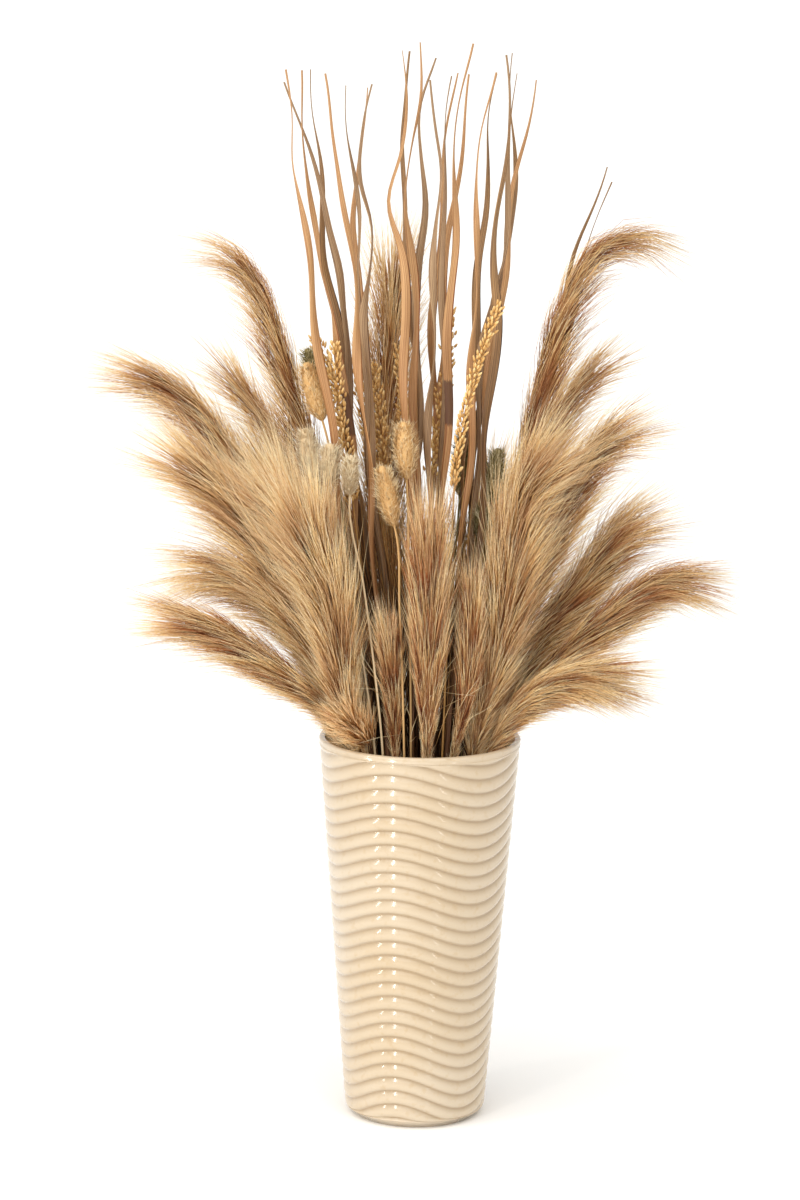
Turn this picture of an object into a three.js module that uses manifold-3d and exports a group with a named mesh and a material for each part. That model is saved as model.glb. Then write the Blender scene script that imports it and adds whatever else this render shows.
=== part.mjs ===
// A tall ridged ceramic vase holding a dried arrangement: pampas plumes, curly grass blades,
// bunny tails and rice sprays, all standing in a plug of dry foam.
// Millimetres, +Z up. The origin is the centre of the vase's underside and -Y is the front.
import * as THREE from "three";
import { mergeVertices } from "three/addons/utils/BufferGeometryUtils.js";
import Module from "manifold-3d";

const wasm = await Module();
wasm.setup();

// ---- driving dimensions ----

const VASE = {
  height: 350,
  footRadius: 55,
  bodyRadius: 63,
  rimRadius: 91,
  cornerHeight: 14,
  wall: 6.5,
  floor: 8,
  footEdge: 2, // height of the first ring above the foot
  floorCorner: 4, // how far the inside floor stops short of the wall
  sides: 36,
};
const RIDGE = {
  pitch: 12.9,
  depth: 2.2,
  crestShare: 0.22, // how far up a ridge its crest stands
  waves: 3,
  waveHeight: 10,
  peakBearing: -16,
  lowest: 6,
  highest: 345,
  ease: 4,
};
const FOAM = { top: 312, bottom: 232, gap: 0.4, holeGap: 0.4, sides: 24 };
const FOOT = { height: 250, drawIn: 0.88, mouthHeight: 345 };
const STEM_RADIUS = 2.1;
const STALK_RADIUS = 1.3;
const STALK_BOW = 0.1; // sideways bow of a tail's stalk, as a share of its lean
const TIP_RADIUS = 1.6;
const PLUME_SIDES = 6;
const PLUME_STEPS = 14;
const TAIL_SIDES = 6;
const TAIL_STALK_STEPS = 3;
const TAIL_STEPS = 7;
const TAIL_FULLNESS = 0.8; // under 1 makes the egg blunter
const SPRAY_SIDES = 5;
const SPRAY_STEPS = 9;
const SPRAY_HEAD_START = 0.55; // share of the way from the mouth to the tip
const BLADE = {
  stalkWidth: 4.4,
  stalkThickness: 2,
  width: 8.6,
  thickness: 1.2,
  tipWidth: 1.8,
  tipThickness: 0.7,
  stalkTop: 0.2, // share of the height above the mouth that stays a plain stalk
  widest: 0.6,
  twist: 0.7, // radians either way
  twistRate: 9,
  sides: 4,
  steps: 14,
};

// ---- where everything stands ----

// Plumes lean out in upright planes through the vase's axis. A bearing is in degrees from the
// front, positive to the right: the first is at the mouth and the second at the tip. The points
// are [distance from the axis, height], and core is the greatest radius of the dense middle.
const PLUMES = [
  {
    bearing: [-104, -102], core: 10,
    points: [[43, 345], [88, 540], [113, 622], [130, 676], [147, 729], [170, 772], [213, 787]],
  },
  {
    bearing: [-93, -90], core: 12,
    points: [[58, 345], [82, 419], [118, 500], [163, 581], [221, 657], [292, 686]],
  },
  {
    bearing: [-70, -72], core: 11,
    points: [[62, 345], [80, 390], [114, 461], [156, 535], [204, 594], [260, 637]],
  },
  {
    bearing: [-125, -128], core: 10,
    points: [[62, 345], [93, 440], [132, 539], [176, 608], [257, 679]],
  },
  {
    bearing: [-112, -112], core: 11,
    points: [[64, 345], [88, 420], [119, 500], [154, 580], [189, 628]],
  },
  {
    bearing: [-50, -50], core: 15,
    points: [[70, 345], [87, 394], [112, 505], [135, 561], [156, 620]],
  },
  {
    bearing: [-65, -65], core: 11,
    points: [[52, 345], [84, 450], [110, 518], [149, 583], [178, 625]],
  },
  {
    bearing: [-84, -82], core: 11,
    points: [[70, 345], [88, 400], [118, 455], [159, 490], [195, 504], [236, 502]],
  },
  {
    bearing: [-63, -66], core: 11,
    points: [[72, 345], [95, 382], [138, 416], [186, 451], [228, 471], [269, 483]],
  },
  {
    bearing: [-25, -25], core: 8,
    points: [[51, 345], [61, 412], [77, 485]],
  },
  {
    bearing: [5, 3], core: 13,
    points: [[66, 345], [84, 400], [93, 460], [100, 530], [104, 596]],
  },
  {
    bearing: [28, 26], core: 8,
    points: [[64, 345], [90, 420], [96, 485], [94, 532]],
  },
  {
    bearing: [50, 50], core: 14,
    points: [[62, 345], [90, 442], [105, 524], [126, 598], [171, 653]],
  },
  {
    bearing: [60, 56], core: 11,
    points: [[70, 345], [103, 387], [144, 415], [186, 426], [231, 428]],
  },
  {
    bearing: [72, 72], core: 12,
    points: [[56, 345], [74, 410], [100, 491], [131, 565], [160, 622], [213, 660]],
  },
  {
    bearing: [76, 78], core: 12,
    points: [[68, 345], [95, 390], [135, 432], [170, 465], [218, 501], [274, 497]],
  },
  {
    bearing: [84, 84], core: 12,
    points: [[66, 345], [80, 385], [106, 441], [141, 488], [180, 545], [220, 573]],
  },
  {
    bearing: [93, 95], core: 11,
    points: [[56, 345], [64, 437], [78, 528], [96, 615], [125, 738], [150, 788], [184, 799], [222, 782]],
  },
  {
    bearing: [101, 101], core: 10,
    points: [[64, 345], [92, 400], [127, 448], [165, 473]],
  },
  {
    bearing: [125, 125], core: 10,
    points: [[50, 345], [90, 470], [126, 570], [166, 648], [228, 690]],
  },
  {
    bearing: [150, 150], core: 12,
    points: [[58, 345], [90, 450], [126, 540], [172, 600]],
  },
  {
    bearing: [-148, -148], core: 12,
    points: [[60, 345], [94, 440], [132, 520], [184, 575]],
  },
  {
    bearing: [-148, -163], core: 12,
    points: [[40, 345], [66, 500], [80, 598], [82, 700], [82, 780], [88, 816]],
  },
];

// Curly blades stand nearly upright. mouth is [x, y] at the vase's mouth, depth is the blade's y
// once it is clear of the plumes, and points are [x, z] from there to the tip.
const BLADES = [
  { mouth: [-44, -30], depth: -30, points: [[-95, 720], [-104, 782], [-115, 851], [-117, 904], [-127, 947]] },
  { mouth: [-31, 6], depth: 8, points: [[-73, 715], [-76, 773], [-90, 821], [-105, 869], [-125, 933]] },
  { mouth: [-40, -12], depth: -12, points: [[-80, 727], [-97, 779], [-102, 841], [-110, 898], [-114, 945]] },
  { mouth: [-38, 25], depth: 25, points: [[-78, 713], [-89, 775], [-95, 841], [-102, 903], [-102, 943]] },
  { mouth: [-28, -40], depth: -42, points: [[-61, 731], [-68, 796], [-76, 860], [-87, 909], [-93, 945]] },
  { mouth: [-25, -5], depth: -5, points: [[-57, 726], [-59, 788], [-66, 849], [-71, 898], [-71, 932]] },
  { mouth: [-27, 20], depth: 20, points: [[-60, 723], [-64, 798], [-60, 860], [-60, 900], [-56, 928]] },
  { mouth: [-20, -22], depth: -24, points: [[-53, 728], [-48, 790], [-61, 856], [-55, 899], [-49, 935]] },
  { mouth: [-7, -33], depth: -32, points: [[-19, 721], [-24, 796], [-32, 831], [-22, 888], [-25, 965]] },
  { mouth: [-5, 0], depth: 1, points: [[-12, 717], [-21, 806], [-24, 863], [-19, 911], [-18, 962]] },
  { mouth: [-4, -17], depth: -15, points: [[-10, 719], [-15, 803], [-18, 860], [-11, 911], [-8, 971]] },
  { mouth: [-3, 17], depth: 17, points: [[-7, 715], [-7, 804], [-3, 839], [-7, 901], [4, 955]] },
  { mouth: [7, -44], depth: -44, points: [[5, 723], [8, 802], [10, 845], [3, 906], [2, 941]] },
  { mouth: [12, -22], depth: -22, points: [[21, 720], [23, 773], [22, 835], [26, 909], [35, 971]] },
  { mouth: [11, 24], depth: 22, points: [[14, 706], [18, 777], [25, 848], [31, 901], [37, 941]] },
  { mouth: [25, -30], depth: -30, points: [[43, 721], [41, 792], [44, 844], [47, 905], [55, 947]] },
  { mouth: [22, 1], depth: 4, points: [[44, 718], [48, 789], [51, 829], [50, 886], [61, 943]] },
  { mouth: [38, -14], depth: -14, points: [[53, 719], [65, 781], [72, 843], [70, 904], [64, 961]] },
  { mouth: [30, 20], depth: 22, points: [[57, 715], [72, 778], [75, 840], [73, 910], [74, 960]] },
  { mouth: [42, 6], depth: 6, points: [[60, 716], [70, 777], [75, 837], [83, 885], [92, 938]] },
];

// Bunny tails: a stalk from the mouth to the head's base, then an egg-shaped head to its tip.
const TAILS = [
  { mouth: [-52, -13], base: [-88, -17, 630], tip: [-106, -18, 692], radius: 10.5 },
  { mouth: [-47, 0], base: [-88, 0, 648], tip: [-106, -2, 702], radius: 8 },
  { mouth: [-40, -45], base: [-84, -42, 578], tip: [-83, -44, 624], radius: 9 },
  { mouth: [-33, -54], base: [-65, -62, 573], tip: [-64, -64, 617], radius: 6 },
  { mouth: [-14, -56], base: [-24, -72, 548], tip: [-38, -76, 610], radius: 9 },
  { mouth: [-8, -46], base: [-15, -60, 588], tip: [-19, -62, 647], radius: 9 },
  { mouth: [46, -6], base: [58, -2, 552], tip: [66, -2, 615], radius: 8.5 },
  { mouth: [20, 12], base: [32, 12, 559], tip: [35, 12, 627], radius: 8 },
];

// Rice sprays: a stalk, then a slim head through the points, [x, y, z].
const SPRAYS = [
  {
    mouth: [20, -46], radius: 4.5,
    points: [[26, -60, 567], [28, -60, 609], [36, -60, 660], [50, -60, 710], [64, -60, 753]],
  },
  {
    mouth: [8, 10], radius: 6,
    points: [[6, 12, 579], [14, 12, 640], [20, 12, 700], [18, 12, 740]],
  },
  {
    mouth: [-8, 33], radius: 5,
    points: [[-12, 33, 587], [-18, 33, 650], [-21, 33, 702]],
  },
  {
    mouth: [-15, 22], radius: 5,
    points: [[-35, 32, 586], [-41, 33, 631], [-46, 33, 684]],
  },
  {
    mouth: [-33, -25], radius: 5,
    points: [[-70, -18, 619], [-77, -20, 664], [-80, -20, 712]],
  },
  {
    mouth: [-40, 41], radius: 4,
    points: [[-76, 42, 640], [-88, 42, 680], [-102, 42, 706]],
  },
  {
    mouth: [-29, 32], radius: 4,
    points: [[-48, 38, 606], [-56, 40, 651], [-62, 40, 690]],
  },
];

// ---- materials ----

function finish(colour, roughness) {
  return new THREE.MeshStandardMaterial({ color: colour, roughness: roughness, metalness: 0 });
}

const GLAZE = finish(0xecdcc0, 0.25);
const DRY_FOAM = finish(0x5b4a35, 0.95);
const PLUME_FIBRE = finish(0xb98a5c, 0.9);
const BLADE_FIBRE = finish(0xa87f5a, 0.75);
const TAIL_FIBRE = finish(0xc9a66e, 0.9);
const RICE_HUSK = finish(0xcf9a4e, 0.7);

// ---- shared shapes ----

const RADIANS = Math.PI / 180;
const UP = new THREE.Vector3(0, 0, 1);
const RIGHT = new THREE.Vector3(1, 0, 0);

function pointAt(bearing, radius, height) {
  return new THREE.Vector3(
    radius * Math.sin(bearing * RADIANS),
    -radius * Math.cos(bearing * RADIANS),
    height,
  );
}

// A closed surface over rings of equal size, each a list of points, with a fan at both ends.
// Opposite sides are cut along parallel diagonals, so a thin twisted strip keeps its thickness.
function skinned(rings) {
  const size = rings[0].length;
  const first = new THREE.Vector3();
  const last = new THREE.Vector3();
  rings[0].forEach((point) => first.addScaledVector(point, 1 / size));
  rings[rings.length - 1].forEach((point) => last.addScaledVector(point, 1 / size));
  const points = [first, ...rings.flat(), last];
  const lastIndex = points.length - 1;
  const faces = [];
  for (let i = 0; i < size; i++) {
    const next = (i + 1) % size;
    faces.push(0, 1 + next, 1 + i);
    const top = 1 + (rings.length - 1) * size;
    faces.push(lastIndex, top + i, top + next);
    for (let row = 0; row < rings.length - 1; row++) {
      const here = 1 + row * size;
      const above = here + size;
      if (i < size / 2) {
        faces.push(here + i, here + next, above + next);
        faces.push(here + i, above + next, above + i);
      } else {
        faces.push(here + i, here + next, above + i);
        faces.push(here + next, above + next, above + i);
      }
    }
  }
  const geometry = new THREE.BufferGeometry();
  const numbers = points.flatMap((point) => point.toArray());
  geometry.setAttribute("position", new THREE.Float32BufferAttribute(numbers, 3));
  geometry.setIndex(faces);
  geometry.computeVertexNormals();
  return geometry;
}

// ---- stems: a stem is a list of stations, each with a centre, two half-sizes and two directions ----

// Stations along a curve that starts at the foot, passes the mouth and ends at the tip. sizeAt
// gives [half width, half thickness, twist] at a share of the way from the mouth to the tip.
function stations(mouth, path, steps, sizeAt) {
  const drawIn = FOOT.drawIn;
  const foot = new THREE.Vector3(mouth.x * drawIn, mouth.y * drawIn, FOOT.height);
  const curve = new THREE.CatmullRomCurve3([mouth, ...path]);
  const centres = [foot, ...curve.getSpacedPoints(steps)];
  return centres.map((centre, index) => {
    const behind = centres[Math.max(index - 1, 0)];
    const ahead = centres[Math.min(index + 1, centres.length - 1)];
    const along = ahead.clone().sub(behind).normalize();
    const [halfWidth, halfThickness, twist] = sizeAt(Math.max(index - 1, 0) / steps);
    const across = RIGHT.clone().addScaledVector(along, -RIGHT.dot(along)).normalize();
    across.applyAxisAngle(along, twist);
    const through = along.clone().cross(across);
    return { centre, across, through, halfWidth, halfThickness };
  });
}

function ringAt(station, sides, grow) {
  const ring = [];
  for (let i = 0; i < sides; i++) {
    const angle = ((i + 0.5) * 2 * Math.PI) / sides;
    const point = station.centre.clone();
    point.addScaledVector(station.across, Math.cos(angle) * (station.halfWidth + grow));
    point.addScaledVector(station.through, Math.sin(angle) * (station.halfThickness + grow));
    ring.push(point);
  }
  return ring;
}

function stemGeometry(stem) {
  return skinned(stem.stations.map((station) => ringAt(station, stem.sides, 0)));
}

// The room a stem takes in the foam: its first two stations, grown by the gap on every side.
function holeGeometry(stem) {
  const corner = 1 / Math.cos(Math.PI / stem.sides);
  const [foot, mouth] = stem.stations;
  const deeper = { ...foot, centre: foot.centre.clone().addScaledVector(UP, -FOAM.holeGap) };
  return skinned([deeper, mouth].map((station) => ringAt(station, stem.sides, FOAM.holeGap * corner)));
}

function plume({ bearing, core, points }) {
  const spots = points.map(([radius, height], index) => {
    const share = index / (points.length - 1);
    return pointAt(bearing[0] + (bearing[1] - bearing[0]) * share, radius, height);
  });
  const sizeAt = (share) => {
    const end = STEM_RADIUS + (TIP_RADIUS - STEM_RADIUS) * share;
    const radius = end + (core - end) * Math.sin(Math.PI * share);
    return [radius, radius, 0];
  };
  return { sides: PLUME_SIDES, stations: stations(spots[0], spots.slice(1), PLUME_STEPS, sizeAt) };
}

function blade({ mouth, depth, points }, index) {
  const start = new THREE.Vector3(mouth[0], mouth[1], FOOT.mouthHeight);
  const path = points.map(([x, z]) => new THREE.Vector3(x, depth, z));
  const turn = index % 2 ? 1 : -1;
  const sizeAt = (share) => {
    const rising = THREE.MathUtils.smoothstep(share, BLADE.stalkTop, BLADE.widest);
    const falling = THREE.MathUtils.smoothstep(share, BLADE.widest, 1);
    const low = THREE.MathUtils.lerp(BLADE.stalkWidth, BLADE.width, rising);
    const width = THREE.MathUtils.lerp(low, BLADE.tipWidth, falling);
    const thinned = THREE.MathUtils.lerp(BLADE.stalkThickness, BLADE.thickness, rising);
    const thickness = THREE.MathUtils.lerp(thinned, BLADE.tipThickness, falling);
    const twist = turn * Math.sin(share * BLADE.twistRate + index) * BLADE.twist * rising;
    return [width / 2, thickness / 2, twist];
  };
  return { sides: BLADE.sides, stations: stations(start, path, BLADE.steps, sizeAt) };
}

function bunnyTail({ mouth, base, tip, radius }) {
  const start = new THREE.Vector3(mouth[0], mouth[1], FOOT.mouthHeight);
  const bottom = new THREE.Vector3(...base);
  const top = new THREE.Vector3(...tip);
  const thin = () => [STALK_RADIUS, STALK_RADIUS, 0];
  const halfway = start.clone().lerp(bottom, 0.5);
  halfway.addScaledVector(RIGHT, (start.x - bottom.x) * STALK_BOW);
  const stalk = stations(start, [halfway, bottom], TAIL_STALK_STEPS, thin);
  const along = top.clone().sub(bottom).normalize();
  const across = RIGHT.clone().addScaledVector(along, -RIGHT.dot(along)).normalize();
  const through = along.clone().cross(across);
  const head = [];
  for (let step = 1; step <= TAIL_STEPS; step++) {
    const angle = (Math.PI * step) / (TAIL_STEPS + 0.5);
    const size = Math.max(radius * Math.sin(angle) ** TAIL_FULLNESS, STALK_RADIUS);
    const centre = bottom.clone().lerp(top, (1 - Math.cos(angle)) / 2);
    head.push({ centre, across, through, halfWidth: size, halfThickness: size });
  }
  return { sides: TAIL_SIDES, stations: [...stalk, ...head] };
}

function riceSpray({ mouth, radius, points }) {
  const start = new THREE.Vector3(mouth[0], mouth[1], FOOT.mouthHeight);
  const path = points.map((point) => new THREE.Vector3(...point));
  const sizeAt = (share) => {
    const headShare = Math.max(0, (share - SPRAY_HEAD_START) / (1 - SPRAY_HEAD_START));
    const filled = Math.sin(Math.PI * headShare);
    const size = STALK_RADIUS + (radius - STALK_RADIUS) * filled;
    return [size, size, 0];
  };
  return { sides: SPRAY_SIDES, stations: stations(start, path, SPRAY_STEPS, sizeAt) };
}

// ---- the vase ----

function waveAt(bearing) {
  return RIDGE.waveHeight * Math.cos(RIDGE.waves * (bearing - RIDGE.peakBearing) * RADIANS);
}

// Squeezes the rows that would run past the ridged band into its last few millimetres.
function keptInBand(height) {
  const over = height - (RIDGE.highest - RIDGE.ease);
  const under = RIDGE.lowest + RIDGE.ease - height;
  if (over > 0) return RIDGE.highest - RIDGE.ease + (RIDGE.ease * over) / (over + RIDGE.ease);
  if (under > 0) return RIDGE.lowest + RIDGE.ease - (RIDGE.ease * under) / (under + RIDGE.ease);
  return height;
}

function wallRadius(height) {
  const taper = VASE.bodyRadius + ((VASE.rimRadius - VASE.bodyRadius) * height) / VASE.height;
  const low = 1 - Math.min(height / VASE.cornerHeight, 1);
  return taper - (VASE.bodyRadius - VASE.footRadius) * (1 - Math.sqrt(1 - low * low));
}

function levelRing(radius, height) {
  const ring = [];
  for (let i = 0; i < VASE.sides; i++) {
    ring.push(pointAt((360 * i) / VASE.sides, radius, height));
  }
  return ring;
}

function ridgeRing(height, depth) {
  const ring = [];
  for (let i = 0; i < VASE.sides; i++) {
    const bearing = (360 * i) / VASE.sides;
    const kept = keptInBand(height + waveAt(bearing));
    const room = Math.min(kept - RIDGE.lowest, RIDGE.highest - kept);
    const cut = depth * THREE.MathUtils.smoothstep(room, 0, RIDGE.ease);
    ring.push(pointAt(bearing, wallRadius(kept) - cut, kept));
  }
  return ring;
}

function vaseGeometry() {
  const rings = [levelRing(VASE.footRadius, 0), levelRing(wallRadius(VASE.footEdge), VASE.footEdge)];
  const reach = RIDGE.waveHeight + RIDGE.pitch * 0.5;
  const count = Math.floor((RIDGE.highest - RIDGE.lowest + 2 * reach) / RIDGE.pitch);
  for (let ridge = 0; ridge < count; ridge++) {
    const groove = RIDGE.lowest - reach + ridge * RIDGE.pitch;
    rings.push(ridgeRing(groove, RIDGE.depth));
    rings.push(ridgeRing(groove + RIDGE.pitch * RIDGE.crestShare, 0));
  }
  const rim = VASE.rimRadius;
  const inner = rim - VASE.wall;
  const top = VASE.height;
  const lip = [
    [rim + 0.2, top - 3.5],
    [rim - 0.9, top - 1],
    [rim - 3, top],
    [inner + 1, top - 1],
    [inner, top - 3.5],
  ];
  lip.forEach(([radius, height]) => rings.push(levelRing(radius, height)));
  for (const height of [FOAM.top, FOAM.bottom, VASE.floor + VASE.cornerHeight]) {
    rings.push(levelRing(wallRadius(height) - VASE.wall, height));
  }
  rings.push(levelRing(wallRadius(VASE.floor) - VASE.wall - VASE.floorCorner, VASE.floor));
  return skinned(rings);
}

// ---- the foam plug, pierced by every stem ----

function solid(geometry) {
  const plain = geometry.clone();
  plain.deleteAttribute("normal");
  const merged = mergeVertices(plain);
  return new wasm.Manifold(
    new wasm.Mesh({
      numProp: 3,
      vertProperties: merged.attributes.position.array,
      triVerts: new Uint32Array(merged.index.array),
    }),
  );
}

function geometryOf(body) {
  const mesh = body.getMesh();
  const geometry = new THREE.BufferGeometry();
  geometry.setAttribute("position", new THREE.BufferAttribute(mesh.vertProperties, 3));
  geometry.setIndex(new THREE.BufferAttribute(mesh.triVerts, 1));
  geometry.computeVertexNormals();
  return geometry;
}

function foamGeometry(stems) {
  const gap = VASE.wall + FOAM.gap;
  const rings = [FOAM.bottom, FOAM.top].map((height) => {
    const inside = (wallRadius(height) - gap) * Math.cos(Math.PI / VASE.sides);
    const ring = [];
    for (let i = 0; i < FOAM.sides; i++) {
      ring.push(pointAt((360 * i) / FOAM.sides, inside, height));
    }
    return ring;
  });
  let block = solid(skinned(rings));
  for (const stem of stems) block = block.subtract(solid(holeGeometry(stem)));
  return geometryOf(block);
}

// ---- the assembly ----

const group = new THREE.Group();

function add(name, geometry, material) {
  const mesh = new THREE.Mesh(geometry, material.clone());
  mesh.name = name;
  group.add(mesh);
}

function addStems(prefix, stems, material) {
  stems.forEach((stem, index) => {
    add(`${prefix}_${String(index + 1).padStart(2, "0")}`, stemGeometry(stem), material);
  });
}

const plumes = PLUMES.map(plume);
const blades = BLADES.map(blade);
const tails = TAILS.map(bunnyTail);
const sprays = SPRAYS.map(riceSpray);

add("vase", vaseGeometry(), GLAZE);
add("foam_plug", foamGeometry([...plumes, ...blades, ...tails, ...sprays]), DRY_FOAM);
addStems("pampas_plume", plumes, PLUME_FIBRE);
addStems("curly_blade", blades, BLADE_FIBRE);
addStems("bunny_tail", tails, TAIL_FIBRE);
addStems("rice_spray", sprays, RICE_HUSK);

export default group;
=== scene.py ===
"""A tall ridged ceramic vase holding dried pampas plumes, curly blades, bunny tails and rice sprays.

Everything is in metres in the CAD frame: the origin is the centre of the vase's underside, +Z is
up and -Y is the front. Each stem follows the spine of its own CAD node, read from the frame.
"""

import logging
import math
from dataclasses import dataclass
from enum import Enum
from typing import Any, Iterable, Sequence

import bmesh
import bpy
import numpy as np
from mathutils import Matrix, Vector


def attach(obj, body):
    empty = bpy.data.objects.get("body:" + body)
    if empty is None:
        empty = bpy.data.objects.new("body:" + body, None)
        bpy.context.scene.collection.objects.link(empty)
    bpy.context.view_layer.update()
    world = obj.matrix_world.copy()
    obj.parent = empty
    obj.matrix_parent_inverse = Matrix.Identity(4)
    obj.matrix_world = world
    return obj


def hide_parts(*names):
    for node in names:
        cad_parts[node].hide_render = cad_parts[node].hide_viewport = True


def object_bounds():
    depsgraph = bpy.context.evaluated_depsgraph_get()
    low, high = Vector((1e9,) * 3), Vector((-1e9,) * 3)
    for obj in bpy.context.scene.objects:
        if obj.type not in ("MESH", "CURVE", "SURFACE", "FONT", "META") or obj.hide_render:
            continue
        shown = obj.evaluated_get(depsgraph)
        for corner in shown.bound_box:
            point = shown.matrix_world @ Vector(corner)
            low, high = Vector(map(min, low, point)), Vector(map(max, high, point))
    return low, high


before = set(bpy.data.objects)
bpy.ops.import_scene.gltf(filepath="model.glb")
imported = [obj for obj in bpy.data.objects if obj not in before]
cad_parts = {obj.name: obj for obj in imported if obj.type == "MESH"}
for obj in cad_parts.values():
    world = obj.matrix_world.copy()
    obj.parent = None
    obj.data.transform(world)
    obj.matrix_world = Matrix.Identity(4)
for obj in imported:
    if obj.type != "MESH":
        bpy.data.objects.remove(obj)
CAD_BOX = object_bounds()

LOG = logging.getLogger("arrangement")
BODY = "root"
MM = 0.001
HAIR_MAP = "OFBake"
ROOM_SHARE = 0.03  # how far hairs may reach past the CAD box, as a share of its sides
ROOM_SPARE = 2 * MM  # and as a length more

Colour = tuple[float, float, float, float]
Value = Any


# ---------------------------------------------------------------- small helpers


def shade(code: str) -> Colour:
    """Turn a screen colour such as "c8a070" into the linear colour that shaders use.

    Args:
        code: six hexadecimal digits, red first.

    Returns:
        Linear red, green, blue and an alpha of one.
    """
    parts = [int(code[i : i + 2], 16) / 255 for i in (0, 2, 4)]
    red, green, blue = [p / 12.92 if p <= 0.04045 else ((p + 0.055) / 1.055) ** 2.4 for p in parts]
    return (red, green, blue, 1.0)


def new_object(name: str, mesh: bpy.types.Mesh) -> bpy.types.Object:
    """Link a new object for a mesh into the scene.

    Args:
        name: the object's and the mesh's name.
        mesh: the mesh it shows.

    Returns:
        The object, at the origin.
    """
    mesh.name = name
    piece = bpy.data.objects.new(name, mesh)
    bpy.context.scene.collection.objects.link(piece)
    return piece


def smooth_mesh(
    name: str, points: Iterable[Sequence[float]], faces: Sequence[Sequence[int]]
) -> bpy.types.Mesh:
    """Make a smooth-shaded mesh from points and faces.

    Args:
        name: the mesh's name.
        points: vertex positions.
        faces: vertex indices of each face, turning left seen from outside.

    Returns:
        The mesh.
    """
    mesh = bpy.data.meshes.new(name)
    mesh.from_pydata([tuple(point) for point in points], [], [tuple(face) for face in faces])
    mesh.polygons.foreach_set("use_smooth", [True] * len(mesh.polygons))
    mesh.update()
    return mesh


def ring_faces(rings: int, size: int, first: int = 0) -> list[tuple[int, ...]]:
    """List the quads of a tube of rings that close on themselves.

    Args:
        rings: how many rings there are.
        size: how many points each ring has.
        first: the index of the first ring's first point.

    Returns:
        One quad for each pair of neighbours on each pair of rings.
    """
    faces = []
    for row in range(rings - 1):
        low = first + row * size
        for i in range(size):
            j = (i + 1) % size
            faces.append((low + i, low + j, low + size + j, low + size + i))
    return faces


def settle(piece: bpy.types.Object, slot: str, *nodes: str) -> bpy.types.Object:
    """Ride a finished piece on the vase's body and hide the CAD nodes it stands for.

    Args:
        piece: the finished piece.
        slot: the record's material slot; not used.
        nodes: the CAD nodes it replaces, if any.

    Returns:
        The same piece.
    """
    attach(piece, BODY)
    if nodes:
        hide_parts(*nodes)
    return piece


# ---------------------------------------------------------------- wiring node trees


class Net:
    """A node tree being wired. Every input takes either a plain value or another node's socket."""

    def __init__(self, tree: bpy.types.NodeTree) -> None:
        """Start from an empty tree."""
        self.tree = tree
        tree.nodes.clear()

    def add(self, kind: str, inputs: dict[Any, Value] | None = None, **settings: Any) -> bpy.types.Node:
        """Add a node.

        Args:
            kind: the node's type name.
            inputs: value or socket for each input, by name or number.
            settings: properties set on the node before its inputs.

        Returns:
            The node.
        """
        node = self.tree.nodes.new(kind)
        for key, value in settings.items():
            setattr(node, key, value)
        for key, value in (inputs or {}).items():
            self.feed(node.inputs[key], value)
        return node

    def feed(self, socket: bpy.types.NodeSocket, value: Value) -> None:
        """Link a socket into an input, or set the input to a plain value.

        Args:
            socket: the input.
            value: another node's socket, or a plain value.
        """
        if isinstance(value, bpy.types.NodeSocket):
            self.tree.links.new(value, socket)
        else:
            socket.default_value = value

    def math(self, operation: str, *values: Value) -> bpy.types.NodeSocket:
        """Do arithmetic on one to three numbers, and return the result's socket."""
        return self.add("ShaderNodeMath", dict(enumerate(values)), operation=operation).outputs[0]

    def vector(self, operation: str, *values: Value) -> bpy.types.NodeSocket:
        """Do arithmetic on one or two vectors, and return the result's socket."""
        node = self.add("ShaderNodeVectorMath", dict(enumerate(values)), operation=operation)
        return node.outputs["Value" if operation in ("LENGTH", "DOT_PRODUCT") else "Vector"]

    def scaled(self, direction: Value, amount: Value) -> bpy.types.NodeSocket:
        """Scale a vector by a number, and return the result's socket."""
        node = self.add("ShaderNodeVectorMath", {0: direction, "Scale": amount}, operation="SCALE")
        return node.outputs["Vector"]

    def total(self, *vectors: Value) -> bpy.types.NodeSocket:
        """Add any number of vectors.

        Args:
            vectors: each a socket or a plain vector.

        Returns:
            The sum's socket.
        """
        result = vectors[0]
        for other in vectors[1:]:
            result = self.vector("ADD", result, other)
        return result

    def blend(self, share: Value, low: Value, high: Value) -> bpy.types.NodeSocket:
        """Mix two numbers, and return the result's socket."""
        rise = self.math("SUBTRACT", high, low)
        return self.math("MULTIPLY_ADD", rise, share, low)

    def combine(self, x: Value = 0.0, y: Value = 0.0, z: Value = 0.0) -> bpy.types.NodeSocket:
        """Join three numbers into a vector, and return its socket."""
        return self.add("ShaderNodeCombineXYZ", {"X": x, "Y": y, "Z": z}).outputs[0]

    def split(self, vector: Value) -> Sequence[bpy.types.NodeSocket]:
        """Split a vector, and return the sockets of its three numbers."""
        return self.add("ShaderNodeSeparateXYZ", {0: vector}).outputs


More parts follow.
